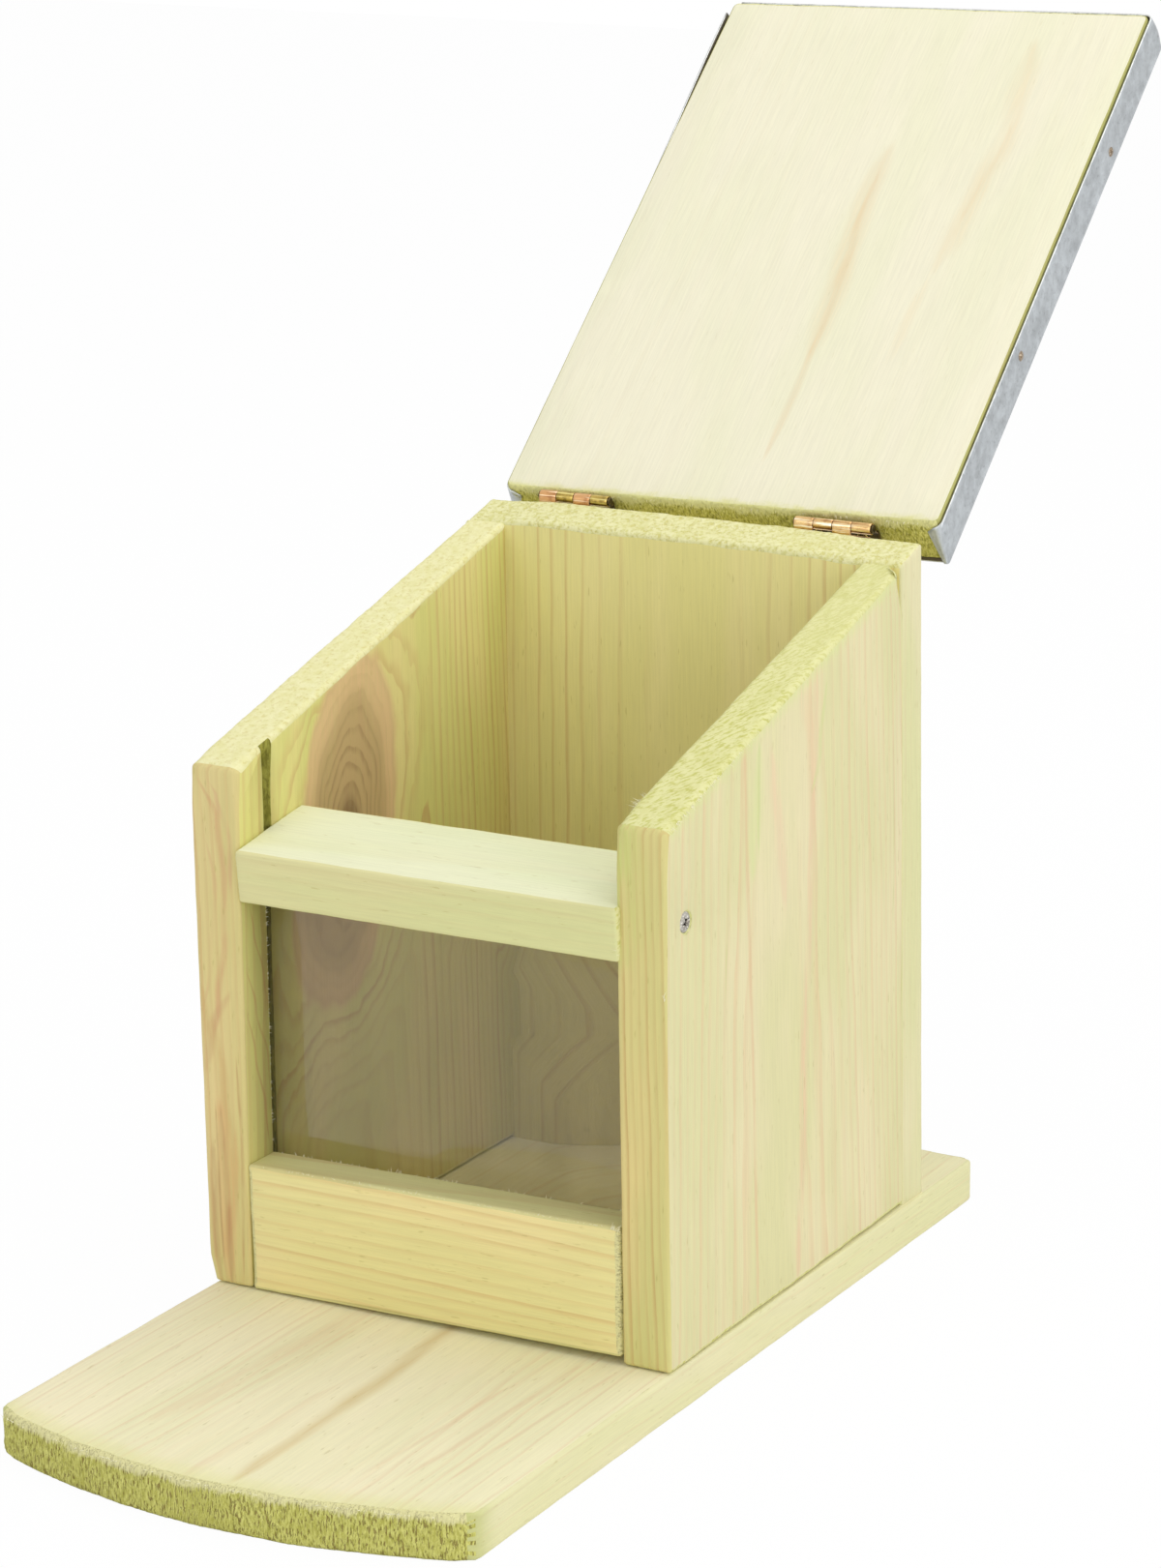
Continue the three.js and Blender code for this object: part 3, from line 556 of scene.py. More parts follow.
def tracedOutline(corners, radii, steps):
    # A closed outline, anticlockwise, with rounded corners and a point every so often along each side.
    corners = [Vector(c) for c in corners]
    count = len(corners)
    radii, steps = (given if isinstance(given, list) else [given] * count for given in (radii, steps))
    arcs = []
    for i, corner in enumerate(corners):
        comingIn = (corner - corners[i - 1]).normalized()
        goingOut = (corners[(i + 1) % count] - corner).normalized()
        turn = math.acos(max(-1.0, min(1.0, comingIn.dot(goingOut))))
        start = corner - comingIn * radii[i] * math.tan(turn / 2)
        centre = start + Vector((-comingIn.y, comingIn.x)) * radii[i]
        pieces = max(1, round(turn / arcStep))
        first = math.atan2(-comingIn.x, comingIn.y)
        angles = [first + turn * k / pieces for k in range(pieces + 1)]
        arcs.append([centre + Vector((math.cos(a), math.sin(a))) * radii[i] for a in angles])
    outline = []
    for i, arc in enumerate(arcs):
        start, end = arc[-1], arcs[(i + 1) % count][0]
        parts = max(1, round((end - start).length / steps[i]))
        for point in arc + [start.lerp(end, k / parts) for k in range(1, parts)]:
            if not outline or (point - outline[-1]).length > sameSpot:
                outline.append(point)
    if (outline[0] - outline[-1]).length < sameSpot:
        outline.pop()
    return outline


def oblong(lowX, lowY, highX, highY):
    return [(lowX, lowY), (highX, lowY), (highX, highY), (lowX, highY)]


def outwardNormals(outline):
    edges = [(after - before).normalized() for before, after in
             zip(outline[-1:] + outline[:-1], outline[1:] + outline[:1])]
    return [Vector((edge.y, -edge.x)) for edge in edges]


def insideOutline(point, outline):  # the outlines are all convex
    return all(
        (b.x - a.x) * (point.y - a.y) - (b.y - a.y) * (point.x - a.x) > 0
        for a, b in zip(outline, outline[1:] + outline[:1])
    )


def roomInside(outline, normals, i, most):
    # The radius of the largest circle that fits inside and touches the outline at point i.
    room, farEnough = most, 64
    for spot in outline:
        way = spot - outline[i]
        depth = -way.dot(normals[i])
        if depth > 1e-6 and way.length_squared < farEnough:
            room = min(room, way.length_squared / (2 * depth))
    return room


def bridge(lower, upper):  # quads between two closed rings of points
    count = len(lower)
    return [[lower[k], lower[(k + 1) % count], upper[(k + 1) % count], upper[k]] for k in range(count)]


def fillFlat(rim, inner, cell, holes):
    # Triangles over a flat face, with the points that they use and the rims of the holes among these.
    lowX, highX = min(p.x for p in rim), max(p.x for p in rim)
    lowY, highY = min(p.y for p in rim), max(p.y for p in rim)
    points, loops = list(rim), []
    for hole in holes:
        loops.append(list(range(len(points), len(points) + holeSides)))
        points += around(holeSides, hole["radius"], hole["at"])
    edges = [pair for loop in [list(range(len(rim)))] + loops for pair in zip(loop, loop[1:] + loop[:1])]
    points += [point for point in inner if insideOutline(point, rim)]
    across, up = max(1, round((highX - lowX) / cell)), max(1, round((highY - lowY) / cell))
    for i in range(1, across):
        for j in range(1, up):
            point = Vector((blendBetween(lowX, highX, i / across), blendBetween(lowY, highY, j / up)))
            clear = min((point - p).length_squared for p in rim) > rimClearance ** 2
            inHole = any((point - Vector(h["at"])).length < h["radius"] + 1 for h in holes)
            if clear and not inHole and insideOutline(point, rim):
                points.append(point)
    places, _, triangles, sources, *_ = geometry.delaunay_2d_cdt(points, edges, [], 1, 1e-5)
    faces = []
    for triangle in triangles:
        middle = sum((places[k] for k in triangle), Vector((0, 0))) / 3
        if not any((middle - Vector(h["at"])).length < h["radius"] * 0.95 for h in holes):
            faces.append([sources[k][0] for k in triangle])
    return points, faces, loops


def rawMesh(name, points, faces, materials, faceMaterials=None):
    mesh = bpy.data.meshes.new(name)
    mesh.from_pydata([tuple(p) for p in points], [], faces)
    mesh.validate()
    for material in materials:
        mesh.materials.append(material)
    if faceMaterials:
        mesh.polygons.foreach_set("material_index", faceMaterials)
    mesh.polygons.foreach_set("use_smooth", [True] * len(mesh.polygons))
    mesh.update()
    return mesh


def linked(name, data):
    piece = bpy.data.objects.new(name, data)
    bpy.context.scene.collection.objects.link(piece)
    return piece


def standsFor(piece, body, node):
    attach(piece, body)
    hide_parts(node)
    return piece


def meshPiece(name, points, faces, body, looks, node, faceMaterials=None):
    mesh = rawMesh(name, [p * mm for p in points], faces, [finishes[k] for k in looks], faceMaterials)
    return standsFor(linked(name, mesh), body, node)


def withModifiers(piece):  # the piece keeps the mesh that its modifiers make
    made = bpy.data.meshes.new_from_object(piece.evaluated_get(bpy.context.evaluated_depsgraph_get()))
    piece.modifiers.clear()
    piece.data = made


def plank(name, outline, thickness, shaped, v, holes=(), bend=None, carve=None):
    # A solid board: rounded arrises, rough sawn ends, flat faces cut small enough to lean.
    normals, seed = outwardNormals(outline), Vector(v["seed"])
    alongP = v["grainAlong"] == "p"
    rows = max(2, round((thickness - 2 * v["ease"]) / v["rowStep"]))
    levels = [("low", k / 3) for k in range(3)] + [("middle", k / rows) for k in range(rows + 1)]
    levels += [("high", 1 - k / 3) for k in range(1, 4)]
    points, faces, faceMaterials = [], [], []
    sawn = [smoothStep(*v["sawnFrom"], abs(n.x if alongP else n.y)) for n in normals]
    softness = []
    for i, (spot, share) in enumerate(zip(outline, sawn)):
        own = v["ease"] * (1 + 0.35 * noise.noise(Vector((spot.x, spot.y, 3.0)) * 0.11 + seed))
        own *= blendBetween(1, v["sawnEase"], share)
        if v["worn"]:
            place, reach, more = v["worn"]
            own += more * smoothStep(reach, 0, (spot - Vector(place)).length)
        softness.append(0.85 * roomInside(outline, normals, i, min(own, thickness * 0.45) / 0.85))

    def add(p, q, r, offset=Vector((0, 0, 0))):
        flat = Vector((p, q, r))
        points.append((bend(flat) if bend else flat) + offset)
        return len(points) - 1

    ringIndex = []
    for zone, share in levels:
        ring = []
        for spot, normal, soft, cut in zip(outline, normals, softness, sawn):
            angle = share * math.pi / 2
            inset, lift = soft * (1 - math.sin(angle)), soft * (1 - math.cos(angle))
            r = lift if zone == "low" else thickness - lift
            if zone == "middle":
                inset, r = 0, blendBetween(soft, thickness - soft, share)
            here = Vector((spot.x, spot.y, r))
            wobble = 0.55 * noise.noise(here * 0.62 + seed) + 0.45 * noise.noise(here * 1.5 - seed)
            wobble += 0.5 * noise.noise(here * 0.07 + seed)
            offset = blendBetween(v["planed"], v["fuzz"], cut) * wobble * (1 - 0.6 * inset / soft)
            ring.append(add(spot.x - normal.x * inset, spot.y - normal.y * inset, r,
                            Vector((normal.x * offset, normal.y * offset, 0))))
        ringIndex.append(ring)
    for row, (lower, upper) in enumerate(zip(ringIndex, ringIndex[1:])):
        faces += bridge(lower, upper)
        for i in range(len(outline)):
            torn = v["ragged"] * noise.noise(Vector((i * 0.6, row * 0.6, 0)) + seed)
            faceMaterials.append(1 if sawn[i] + sawn[(i + 1) % len(outline)] + torn > 1 else 2)

    def cap(top, ring):
        r = thickness if top else 0.0

        def close(corners, material):
            faces.append(corners if top else corners[::-1])
            faceMaterials.append(material)

        edges = list(zip(outline, normals, softness))
        rim = [spot - normal * soft for spot, normal, soft in edges]
        inner = [spot - normal * (soft + faceInset) for spot, normal, soft in edges][::2]
        ownHoles = [h for h in holes if h["top"] == top]
        flat, triangles, loops = fillFlat(rim, inner, v["cell"], ownHoles)
        index = ring + [add(p.x, p.y, r) for p in flat[len(outline):]]
        for triangle in triangles:
            close([index[k] for k in triangle], 0)
        for hole, loop in zip(ownHoles, loops):
            previous = [index[k] for k in loop]
            for share, depth in ((0.5, hole["depth"]), (0.45, hole["depth"] * 3)):
                deep = r - depth if top else r + depth
                circle = around(holeSides, hole["radius"] * share, hole["at"])
                following = [add(p.x, p.y, deep) for p in circle]
                for quad in bridge(previous, following):
                    close(quad, 1)
                previous = following
            close(previous, 1)

    cap(False, ringIndex[0])
    cap(True, ringIndex[-1])
    looks = [finishes[k] for k in (v["wood"], v["sawn"], v["wood"] + "Edge")]
    piece = linked(name, rawMesh(name, points, faces, looks, faceMaterials))
    if carve:
        carve(piece)
    mesh, grain = piece.data, []
    for vertex in mesh.vertices:
        p, q, r = vertex.co
        grain += (p, q, r) if alongP else (q, p, r)
        vertex.co = shaped(vertex.co) * mm
    mesh.attributes.new("grain", "FLOAT_VECTOR", "POINT").data.foreach_set("vector", grain)
    mesh.update()
    return standsFor(piece, v["body"], v["node"])


def basis(p, q, r, origin):
    return Matrix([[p[i], q[i], r[i], origin[i]] for i in range(3)] + [[0, 0, 0, 1]])


def screwHoles(kind, axis, radius, depth):  # where a board's screws have sunk into it
    holes = []
    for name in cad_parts:
        if name.startswith(kind):
            low, high = nodeBox(name)
            middle = (low + high) / 2
            holes.append({"at": (middle.x, middle[axis]), "radius": radius, "depth": depth, "top": False})
    return holes


acrossBox = {"p": yWay, "q": zWay, "r": xWay}  # outline in Y and Z, thickness along X
facingFront = {"p": xWay, "q": zWay, "r": -yWay}  # outline in X and Z, thickness towards the front
lyingFlat = {"p": xWay, "q": yWay, "r": zWay}
board = {  # what the boards share
    "body": "box", "slot": "pine", "grainAlong": "q", "ease": 0.8, "sawnEase": 1.7, "sawnFrom": (0.55, 0.85),
    "worn": None, "ragged": 0, "planed": 0.05, "fuzz": 0.24, "rowStep": 0.8, "cell": 12, "cornerRadius": 1.2,
    "sunk": 0,
}

baseValues = {
    **board, "node": "base_board", "wood": "base", "sawn": "baseSawn", "seed": (1, 5, 2), "fuzz": 0.4,
    "rowStep": 0.55, "sawnFrom": (0.5, 0.75), "sawnEase": 2.2, "ragged": 0.9, "bulge": 12, "bulgeParts": 16,
    "bulgeRadius": 6, "cornerRadius": 4.5, "rearRadius": 4, "shoulder": 3.5, "fineStep": 0.6, "wide": 0.8,
    "long": 2.3, "screwRadius": 3.8, "screwDepth": 2.4,
}


def makeBase():
    v = baseValues
    low, high = nodeBox(v["node"])
    half, reach, parts = high.x, high.x - v["rearRadius"], v["bulgeParts"]
    arcRadius = (reach ** 2 + v["bulge"] ** 2) / (2 * v["bulge"])
    front = [reach * (2 * k / parts - 1) for k in range(parts + 1)]
    corners = [(x, low.y + arcRadius - math.sqrt(arcRadius ** 2 - x ** 2)) for x in front]
    shoulder = low.y + v["bulge"] + v["shoulder"]
    right, rear, corner = half + v["wide"], high.y + v["long"], v["cornerRadius"]
    corners += [(right, shoulder), (right, rear), (-half, rear), (-half, shoulder)]
    steps = [v["fineStep"]] * parts + [1.5, 4, 1.2, 4, 1.5]
    radii = [corner] + [v["bulgeRadius"]] * (parts - 1) + [corner, corner] + [v["rearRadius"]] * 2 + [corner]
    shape = basis(**lyingFlat, origin=(0, 0, low.z))
    holes = screwHoles("base_screw", 1, v["screwRadius"], v["screwDepth"])
    plank("basePlank", tracedOutline(corners, radii, steps), high.z - low.z, lambda p: shape @ p, v, holes)


makeBase()
print("stage: base board")

sideValues = {
    **board, "radii": [1.2, 1.2, 0.2, 1.2, 2.4], "steps": [4, 4, 1.5, 0.8, 3], "wornCorner": 0.9,
    "wornReach": 14, "screw": (-24.3, 128.0), "sinkRadius": 3.3, "sinkDepth": 1.1, "grooveFront": 12,
    "grooveWidth": 3.6, "grooveDepth": 4, "grooveProud": 0.64, "grooveShallow": 3.3, "grooveSteps": 60,
    "lap": 1.1, "crackTall": 14,
}
sidesApart = {  # swell is how far the outer and inner faces stand out at the front edge
    "left": {"sawn": "softSlopeSawn", "seed": (3, 1, 7), "grooveTorn": 0.9, "crack": 0.6,
             "swell": {"outLow": -0.85, "outHigh": -1.35, "outFoot": 1.6}},
    "right": {"sawn": "slopeSawn", "seed": (6, 2, 4), "grooveTorn": 0, "crack": 4.6,
              "swell": {"outFoot": 1.6, "inHigh": -1.9}},
}


def makeSide(side):
    v = {**sideValues, **sidesApart[side], "node": f"{side}_side", "wood": f"{side}Side"}
    low, high = nodeBox(v["node"])
    frontTop = boxLean["floor"] + boxLean["frontHeight"]
    rearTop = frontTop + (high.y - low.y) * boxLean["rise"]
    rear, thickness = high.y + v["lap"], high.x - low.x
    corners = [(low.y, low.z), (rear, low.z), (rear, rearTop - v["crackTall"]),
               (rear - 0.02, rearTop + v["lap"] * boxLean["rise"]), (low.y, frontTop)]
    inner, outward = (0, 1) if side == "right" else (thickness, -1)

    def groove(piece):  # the pane's saw groove, from the floor up through the sloped top
        front, steps = low.y + v["grooveFront"], v["grooveSteps"]
        top = rearTop if side == "left" else frontTop + v["grooveProud"]
        points, faces = [], []
        for k in range(steps + 1):
            q = blendBetween(low.z - 3, top, k / steps)
            torn = v["grooveTorn"] * smoothStep(frontTop - 9, frontTop + 3, q)
            shallow = v["grooveShallow"] * smoothStep(frontTop - 6, frontTop + 3, q)
            near, far = sorted((inner + outward * (v["grooveDepth"] - shallow), inner - outward * 3))
            start, end = front - torn * 0.3, front + v["grooveWidth"] + torn
            for p, r in ((start, near), (end, near), (end, far), (start, far)):
                points.append(Vector((p + 0.3 * noise.noise(Vector((p, q * 0.5, r))), q, r)))
        for k in range(0, 4 * steps, 4):
            faces += [[k + i, k + 4 + i, k + 4 + (i + 1) % 4, k + (i + 1) % 4] for i in range(4)]
        faces += [[0, 1, 2, 3], [4 * steps + i for i in (3, 2, 1, 0)]]
        # the cutter hands its dark groove finish, painted shade of the slot, to the walls it cuts
        cutter = linked("grooveCutter", rawMesh("grooveCutter", points, faces, [finishes["grooveSawn"]]))
        carve = piece.modifiers.new("groove", "BOOLEAN")
        carve.operation, carve.object, carve.solver = "DIFFERENCE", cutter, "EXACT"
        carve.material_mode = "TRANSFER"
        withModifiers(piece)
        bpy.data.objects.remove(cutter)

    v["worn"] = ((low.y, frontTop), v["wornReach"], v["wornCorner"])
    sink = {"at": v["screw"], "radius": v["sinkRadius"], "depth": v["sinkDepth"], "top": side == "right"}
    shape = basis(**acrossBox, origin=(low.x, 0, 0))
    swell = v["swell"]

    def uneven(point):  # the boards are a little thicker at the front edge, and the rear joint has opened
        out = point.z / thickness if side == "right" else 1 - point.z / thickness
        height = (point.y - low.z) / boxLean["frontHeight"]
        near = (high.y - point.x) / (high.y - low.y)
        if side == "left":
            worn = out ** 3 * swell["outFoot"] * smoothStep(0.06, 0, height)
            shift = out * (swell["outLow"] + swell["outHigh"] * min(1.0, height)) + worn
        else:
            foot = max(0.0, 1 - height) ** 2 * (0.25 + 0.75 * near) / max(near, 0.05)
            shift = out * swell["outFoot"] * foot + (1 - out) * swell["inHigh"] * min(1.0, max(0.0, height))
        moved = shape @ point + Vector((shift * near, 0, 0))
        parted = smoothStep(0.6, 1.0, out) * smoothStep(high.y - 3, high.y, point.x)
        moved.y -= v["crack"] * parted * max(0.0, 1 - (rearTop - point.y) / v["crackTall"])
        return leanBox(moved)

    outline = tracedOutline(corners, v["radii"], v["steps"])
    plank(f"{side}SidePlank", outline, thickness, uneven, v, [sink], carve=groove)


makeSide("left")
makeSide("right")
print("stage: sides")


def makeUpright(name, v, top=None, tilt=Matrix(), holes=(), bend=None):  # its outline stands in X and Z
    low, high = nodeBox(v["node"])
    outline = tracedOutline(oblong(low.x, low.z - v["sunk"], high.x, top or high.z), v["cornerRadius"],
                            v["steps"])
    shape = tilt @ basis(**facingFront, origin=(0, high.y, 0))
    return plank(name, outline, high.y - low.y, lambda p: leanBox(shape @ p), v, holes, bend)


backValues = {
    **board, "node": "back_board", "wood": "back", "sawn": "backTopSawn", "seed": (9, 4, 1),
    "steps": [5, 4, 0.8, 4], "screwRadius": 3.5, "screwDepth": 2.2, "crown": 1.15, "sunk": 1.6,
}


def makeBack():
    v = backValues
    low, high = nodeBox(v["node"])
    thickness = high.y - low.y
    frontTop = boxLean["floor"] + boxLean["frontHeight"] + (low.y - boxLean["front"]) * boxLean["rise"]

    def slopeTop(point):  # the top is sawn to the lid's slope, a little proud in the middle
        share = smoothStep(frontTop - 14, frontTop - 2, point.y)
        proud = v["crown"] * smoothStep(-66, -42, point.x) * blendBetween(1, 0.4, smoothStep(25, 62, point.x))
        return Vector((point.x, point.y + ((thickness - point.z) * boxLean["rise"] + proud) * share, point.z))

    holes = screwHoles("back_screw", 2, v["screwRadius"], v["screwDepth"])
    makeUpright("backPlank", v, frontTop, holes=holes, bend=slopeTop)


makeBack()
print("stage: back board")

frontValues = {
    **board, "node": "front_board", "wood": "front", "sawn": "baseSawn", "grainAlong": "p", "seed": (2, 8, 5),
    "steps": [2.5, 1, 2.5, 1], "tilt": 1.0,
}


def makeFront():
    v = frontValues
    low, _ = nodeBox(v["node"])
    corner = Matrix.Translation((low.x, 0, low.z))
    tilt = corner @ Matrix.Rotation(math.radians(-v["tilt"]), 4, "Y") @ corner.inverted()
    makeUpright("frontPlank", v, tilt=tilt)


railValues = {
    **board, "node": "top_rail", "wood": "rail", "sawn": "slopeSawn", "grainAlong": "p", "seed": (4, 4, 9),
    "nose": 11.7, "depth": 32, "thickness": 14.2, "tilt": 6, "middle": (-24.6, 126.75), "cornerRadius": 1.0,
    "sideLean": (-1.3, 0.3), "topRise": 0.05, "sawnEase": 1.0, "steps": [3, 1, 3, 1],
}


def makeRail():
    v = railValues
    low, high = nodeBox(v["node"])
    corners = oblong(low.x, -v["nose"], high.x, v["depth"] - v["nose"])
    tilt = Matrix.Translation((0, *v["middle"])) @ Matrix.Rotation(math.radians(v["tilt"]), 4, "X")
    shape = tilt @ basis(**lyingFlat, origin=(0, 0, -v["thickness"] / 2))

    def shifted(point):  # its back edge stands higher, and it keeps clear of the right side
        share = (point.x - low.x) / (high.x - low.x)
        rise = (point.y + v["nose"]) * v["topRise"]
        return shape @ point + Vector((blendBetween(*v["sideLean"], share), 0, rise))

    plank("railPlank", tracedOutline(corners, v["cornerRadius"], v["steps"]), v["thickness"], shifted, v)


makeFront()
makeRail()
print("stage: front board and rail")

paneValues = {
    **board, "node": "window_pane", "slot": "clear_sheet", "wood": "front", "sawn": "baseSawn",
    "grainAlong": "p", "seed": (0, 0, 0), "planed": 0, "fuzz": 0, "ease": 0.25, "rowStep": 1.0, "cell": 15,
    "cornerRadius": 0.5, "steps": 4,
}


def makePane():
    mesh = makeUpright("windowSheet", paneValues).data
    mesh.materials.clear()
    mesh.materials.append(finishes["clear"])
    mesh.polygons.foreach_set("material_index", [0] * len(mesh.polygons))


makePane()
print("stage: pane")

lidValues = {
    **board, "body": "lid", "slot": "lid_pine", "node": "lid_board", "wood": "lid", "sawn": "lidSawn",
    "seed": (7, 7, 3), "fuzz": 0.34, "ease": 0.4, "sawnEase": 1.6, "halfWidth": 67.5, "offset": -0.31,
    "end": -1.9, "length": 187, "endLean": 0.2, "leanReach": 12, "underside": -0.92, "thickness": 12.8,
    "cornerRadius": 1.8, "steps": [0.7, 4, 0.7, 4],
}


def makeLid():
    v = lidValues
    half, end = v["halfWidth"], v["end"]
    corners = oblong(v["offset"] - half, end - v["length"], v["offset"] + half, end)
    outline = tracedOutline(corners, v["cornerRadius"], v["steps"])
    shape = basis(**lyingFlat, origin=(0, 0, v["underside"]))

    def leanedEnd(point):  # the hinge end is sawn to stand upright when the lid is shut
        share = smoothStep(end - v["leanReach"], end, point.y)
        return Vector((point.x, point.y + point.z * v["endLean"] * share, point.z))

    plank("lidPlank", outline, v["thickness"], lambda p: lidFrame @ twistLid(shape @ p), v, bend=leanedEnd)


makeLid()
print("stage: lid board")

sheetValues = {
    "half": 68.05, "roof": 12.78, "hem": -0.12, "far": -189.8, "end": -1.0, "fold": 176, "thickness": 0.5,
    "overhang": {-1: 1.2, 0: 0, 1: 2.1}, "bend": 0.9, "bendRows": 4, "wallRows": 8, "step": 3.2, "corner": 2,
    "hemCorner": 2.6, "roofCorner": 1.0, "tab": 4.6, "tabTip": 0.5, "tabDrop": 2.4, "frontBow": 1.2,
    "flare": 2.3, "notch": 4.5, "cell": 11, "rearParts": 36,
}


def sheetStations(v):  # (zone, side, share) round the sheet, from the left tab to the right one
    straight, across = round(v["fold"] / v["step"]), round(2 * v["half"] / v["step"])
    runs = [
        ("tab", -1, 1, 0, 4), ("corner", -1, 0, 1, 6), ("fold", -1, 0, 1, straight), ("fold", -1, 1, 2, 4),
        ("far", -1, 0, 1, 4), ("front", 0, 0, 1, across), ("far", 1, 0, 1, 4), ("fold", 1, 1, 0, straight),
        ("corner", 1, 0, 1, 6), ("tab", 1, 0, 1, 4),
    ]
    stations = [("tab", -1, 1)]
    for zone, sign, start, end, steps in runs:
        stations += [(zone, sign, blendBetween(start, end, k / steps)) for k in range(1, steps + 1)]
    return stations


def sheetPoint(v, zone, sign, share, depth):
    # depth runs from 0 at the roof to 1 at the hem; returns a place and the way out.
    half, corner, farEnd = v["half"], v["corner"], v["far"] + v["corner"]
    curve = blendBetween(v["roofCorner"], v["hemCorner"], depth)
    end = blendBetween(v["overhang"][sign], v["end"], depth)
    if zone == "front":
        return Vector((blendBetween(corner - half, half - corner, share), v["far"])), Vector((0, -1))
    if zone == "tab":
        reach = share * blendBetween(v["tabTip"], v["tab"] - v["hemCorner"], depth)
        return Vector((sign * (half - curve - reach), end)), Vector((0, 1))
    if zone == "fold":
        notch = v["far"] + v["notch"]
        y = blendBetween(end - curve, notch, share) if share <= 1 else blendBetween(notch, farEnd, share - 1)
        return Vector((sign * half, y)), Vector((sign, 0))
    turn = math.pi / 2 * (share if (zone == "far") == (sign < 0) else 1 - share)
    if zone == "far":
        way = Vector((sign * math.cos(turn), -math.sin(turn)))
        return Vector((sign * (half - corner), farEnd)) + way * corner, way
    way = Vector((sign * math.cos(turn), math.sin(turn)))
    return Vector((sign * (half - curve), end - curve)) + way * curve, way


def makeCover():
    v = sheetValues
    stations, rows, points, faces, ringIndex = sheetStations(v), [], [], [], []
    for k in range(v["bendRows"] + 1):
        angle = math.pi / 2 * k / v["bendRows"]
        rows.append((v["bend"] * (1 - math.sin(angle)), v["roof"] - v["bend"] * (1 - math.cos(angle)), 0))
    shoulder = v["roof"] - v["bend"]
    rows += [(0, blendBetween(shoulder, v["hem"], k / v["wallRows"]), k / v["wallRows"])
             for k in range(1, v["wallRows"] + 1)]

    def add(x, y, z):
        points.append(Vector((x, y, z)))
        return len(points) - 1

    for inset, z, depth in rows:
        ring = []
        for zone, sign, share in stations:
            spot, way = sheetPoint(v, zone, sign, share, depth)
            bulge = v["frontBow"] * math.sin(math.pi * min(1.0, depth * 1.05))
            bow = lift = 0.0
            if zone == "front":
                bow = bulge * (0.55 + 0.45 * share)
            elif zone == "far" and sign > 0:
                bow = bulge * (1 - share)
            elif zone == "fold" and sign < 0:
                bow = v["flare"] * depth * (smoothStep(0.55, 1.0, share) * 0.75 + max(0.0, share - 1) * 0.6)
            elif zone == "tab":
                lift = 0.3 + 0.7 * share
            elif zone == "corner":
                lift = 0.3 * (1 - share if sign < 0 else share) ** 2
            bow += 0.12 * noise.noise(Vector((spot.x, spot.y, z)) * 0.05) * depth
            place = spot + way * (bow - inset)
            ring.append(add(place.x, place.y, z + v["tabDrop"] * lift * depth))
        ringIndex.append(ring)
    for k, (upper, lower) in enumerate(zip(ringIndex, ringIndex[1:])):
        for i, (zone, sign, share) in enumerate(stations[:-1]):
            snipped = sign < 0 and ((zone == "fold" and share >= 1) or (zone == "far" and share < 1))
            if k < v["bendRows"] or not snipped:
                faces.append([upper[i], lower[i], lower[i + 1], upper[i + 1]])
    rim, parts = [points[k].xy for k in ringIndex[0]], v["rearParts"]
    rear = [rim[-1].lerp(rim[0], k / parts) + Vector((0, 0.25 * noise.noise(Vector((k * 0.23, 0, 0)))))
            for k in range(1, parts)]
    flat, triangles, _ = fillFlat(rim + rear, [], v["cell"], [])
    index = ringIndex[0] + [add(p.x, p.y, v["roof"] + 0.12 * noise.noise(Vector((p.x, p.y, 0)) * 0.03))
                            for p in flat[len(rim):]]
    faces += [[index[k] for k in triangle] for triangle in triangles]
    placed = [lidFrame @ twistLid(p) for p in points]
    piece = meshPiece("coverSheet", placed, faces, "lid",
                      ("galvanised", "sheetRim", "sheetBack"), "lid_cover")
    # the inner face of the thickened sheet takes the painted-shade finish
    thicken(piece, v["thickness"], rim=1, back=2)


def thicken(piece, thickness, rim=0, back=0):
    solid = piece.modifiers.new("thickness", "SOLIDIFY")
    solid.thickness, solid.offset, solid.use_even_offset = thickness * mm, -1, True
    solid.material_offset_rim, solid.material_offset = rim, back
    withModifiers(piece)


makeCover()
print("stage: lid sheet")

leafValues = {
    "length": {"left": 21.6, "right": 23}, "places": {"left": -42.3, "right": 38.3}, "reach": 9,
    "radius": 1.6, "thickness": 0.68, "knuckles": 4, "columns": 6, "endPlay": 0.2, "cutBack": 1.9,
    "corner": 1, "curl": 325, "curlSteps": 24, "plateRows": 9, "edgeWear": 0.13, "endLean": 0.2,
    "plateHeights": (9, 8.6, 8, 7, 6, 5, 4, 3, 2.4, 1.9, 1.2, 0.6, 0), "layReach": 4.0,
    "lay": {"left": 0.1, "right": -1.1}, "screwIn": 5, "screwHeight": 6, "screwOut": -0.8,
    "finishes": {"left": ("copper", "brass"), "right": ("gilt", "gilt")},
    "pinHead": [(0, -0.5), (0.7, -0.46), (1.1, -0.33), (1.3, -0.12), (1.3, 0.02), (0.9, 0.04)],
}


def leafLay(side, z):  # how the moving leaf lies on the lid's sawn end
    v = leafValues
    lean = v["endLean"] * max(0.0, z - v["cutBack"])
    return v["lay"][side] * smoothStep(v["cutBack"], v["layReach"], z) + lean


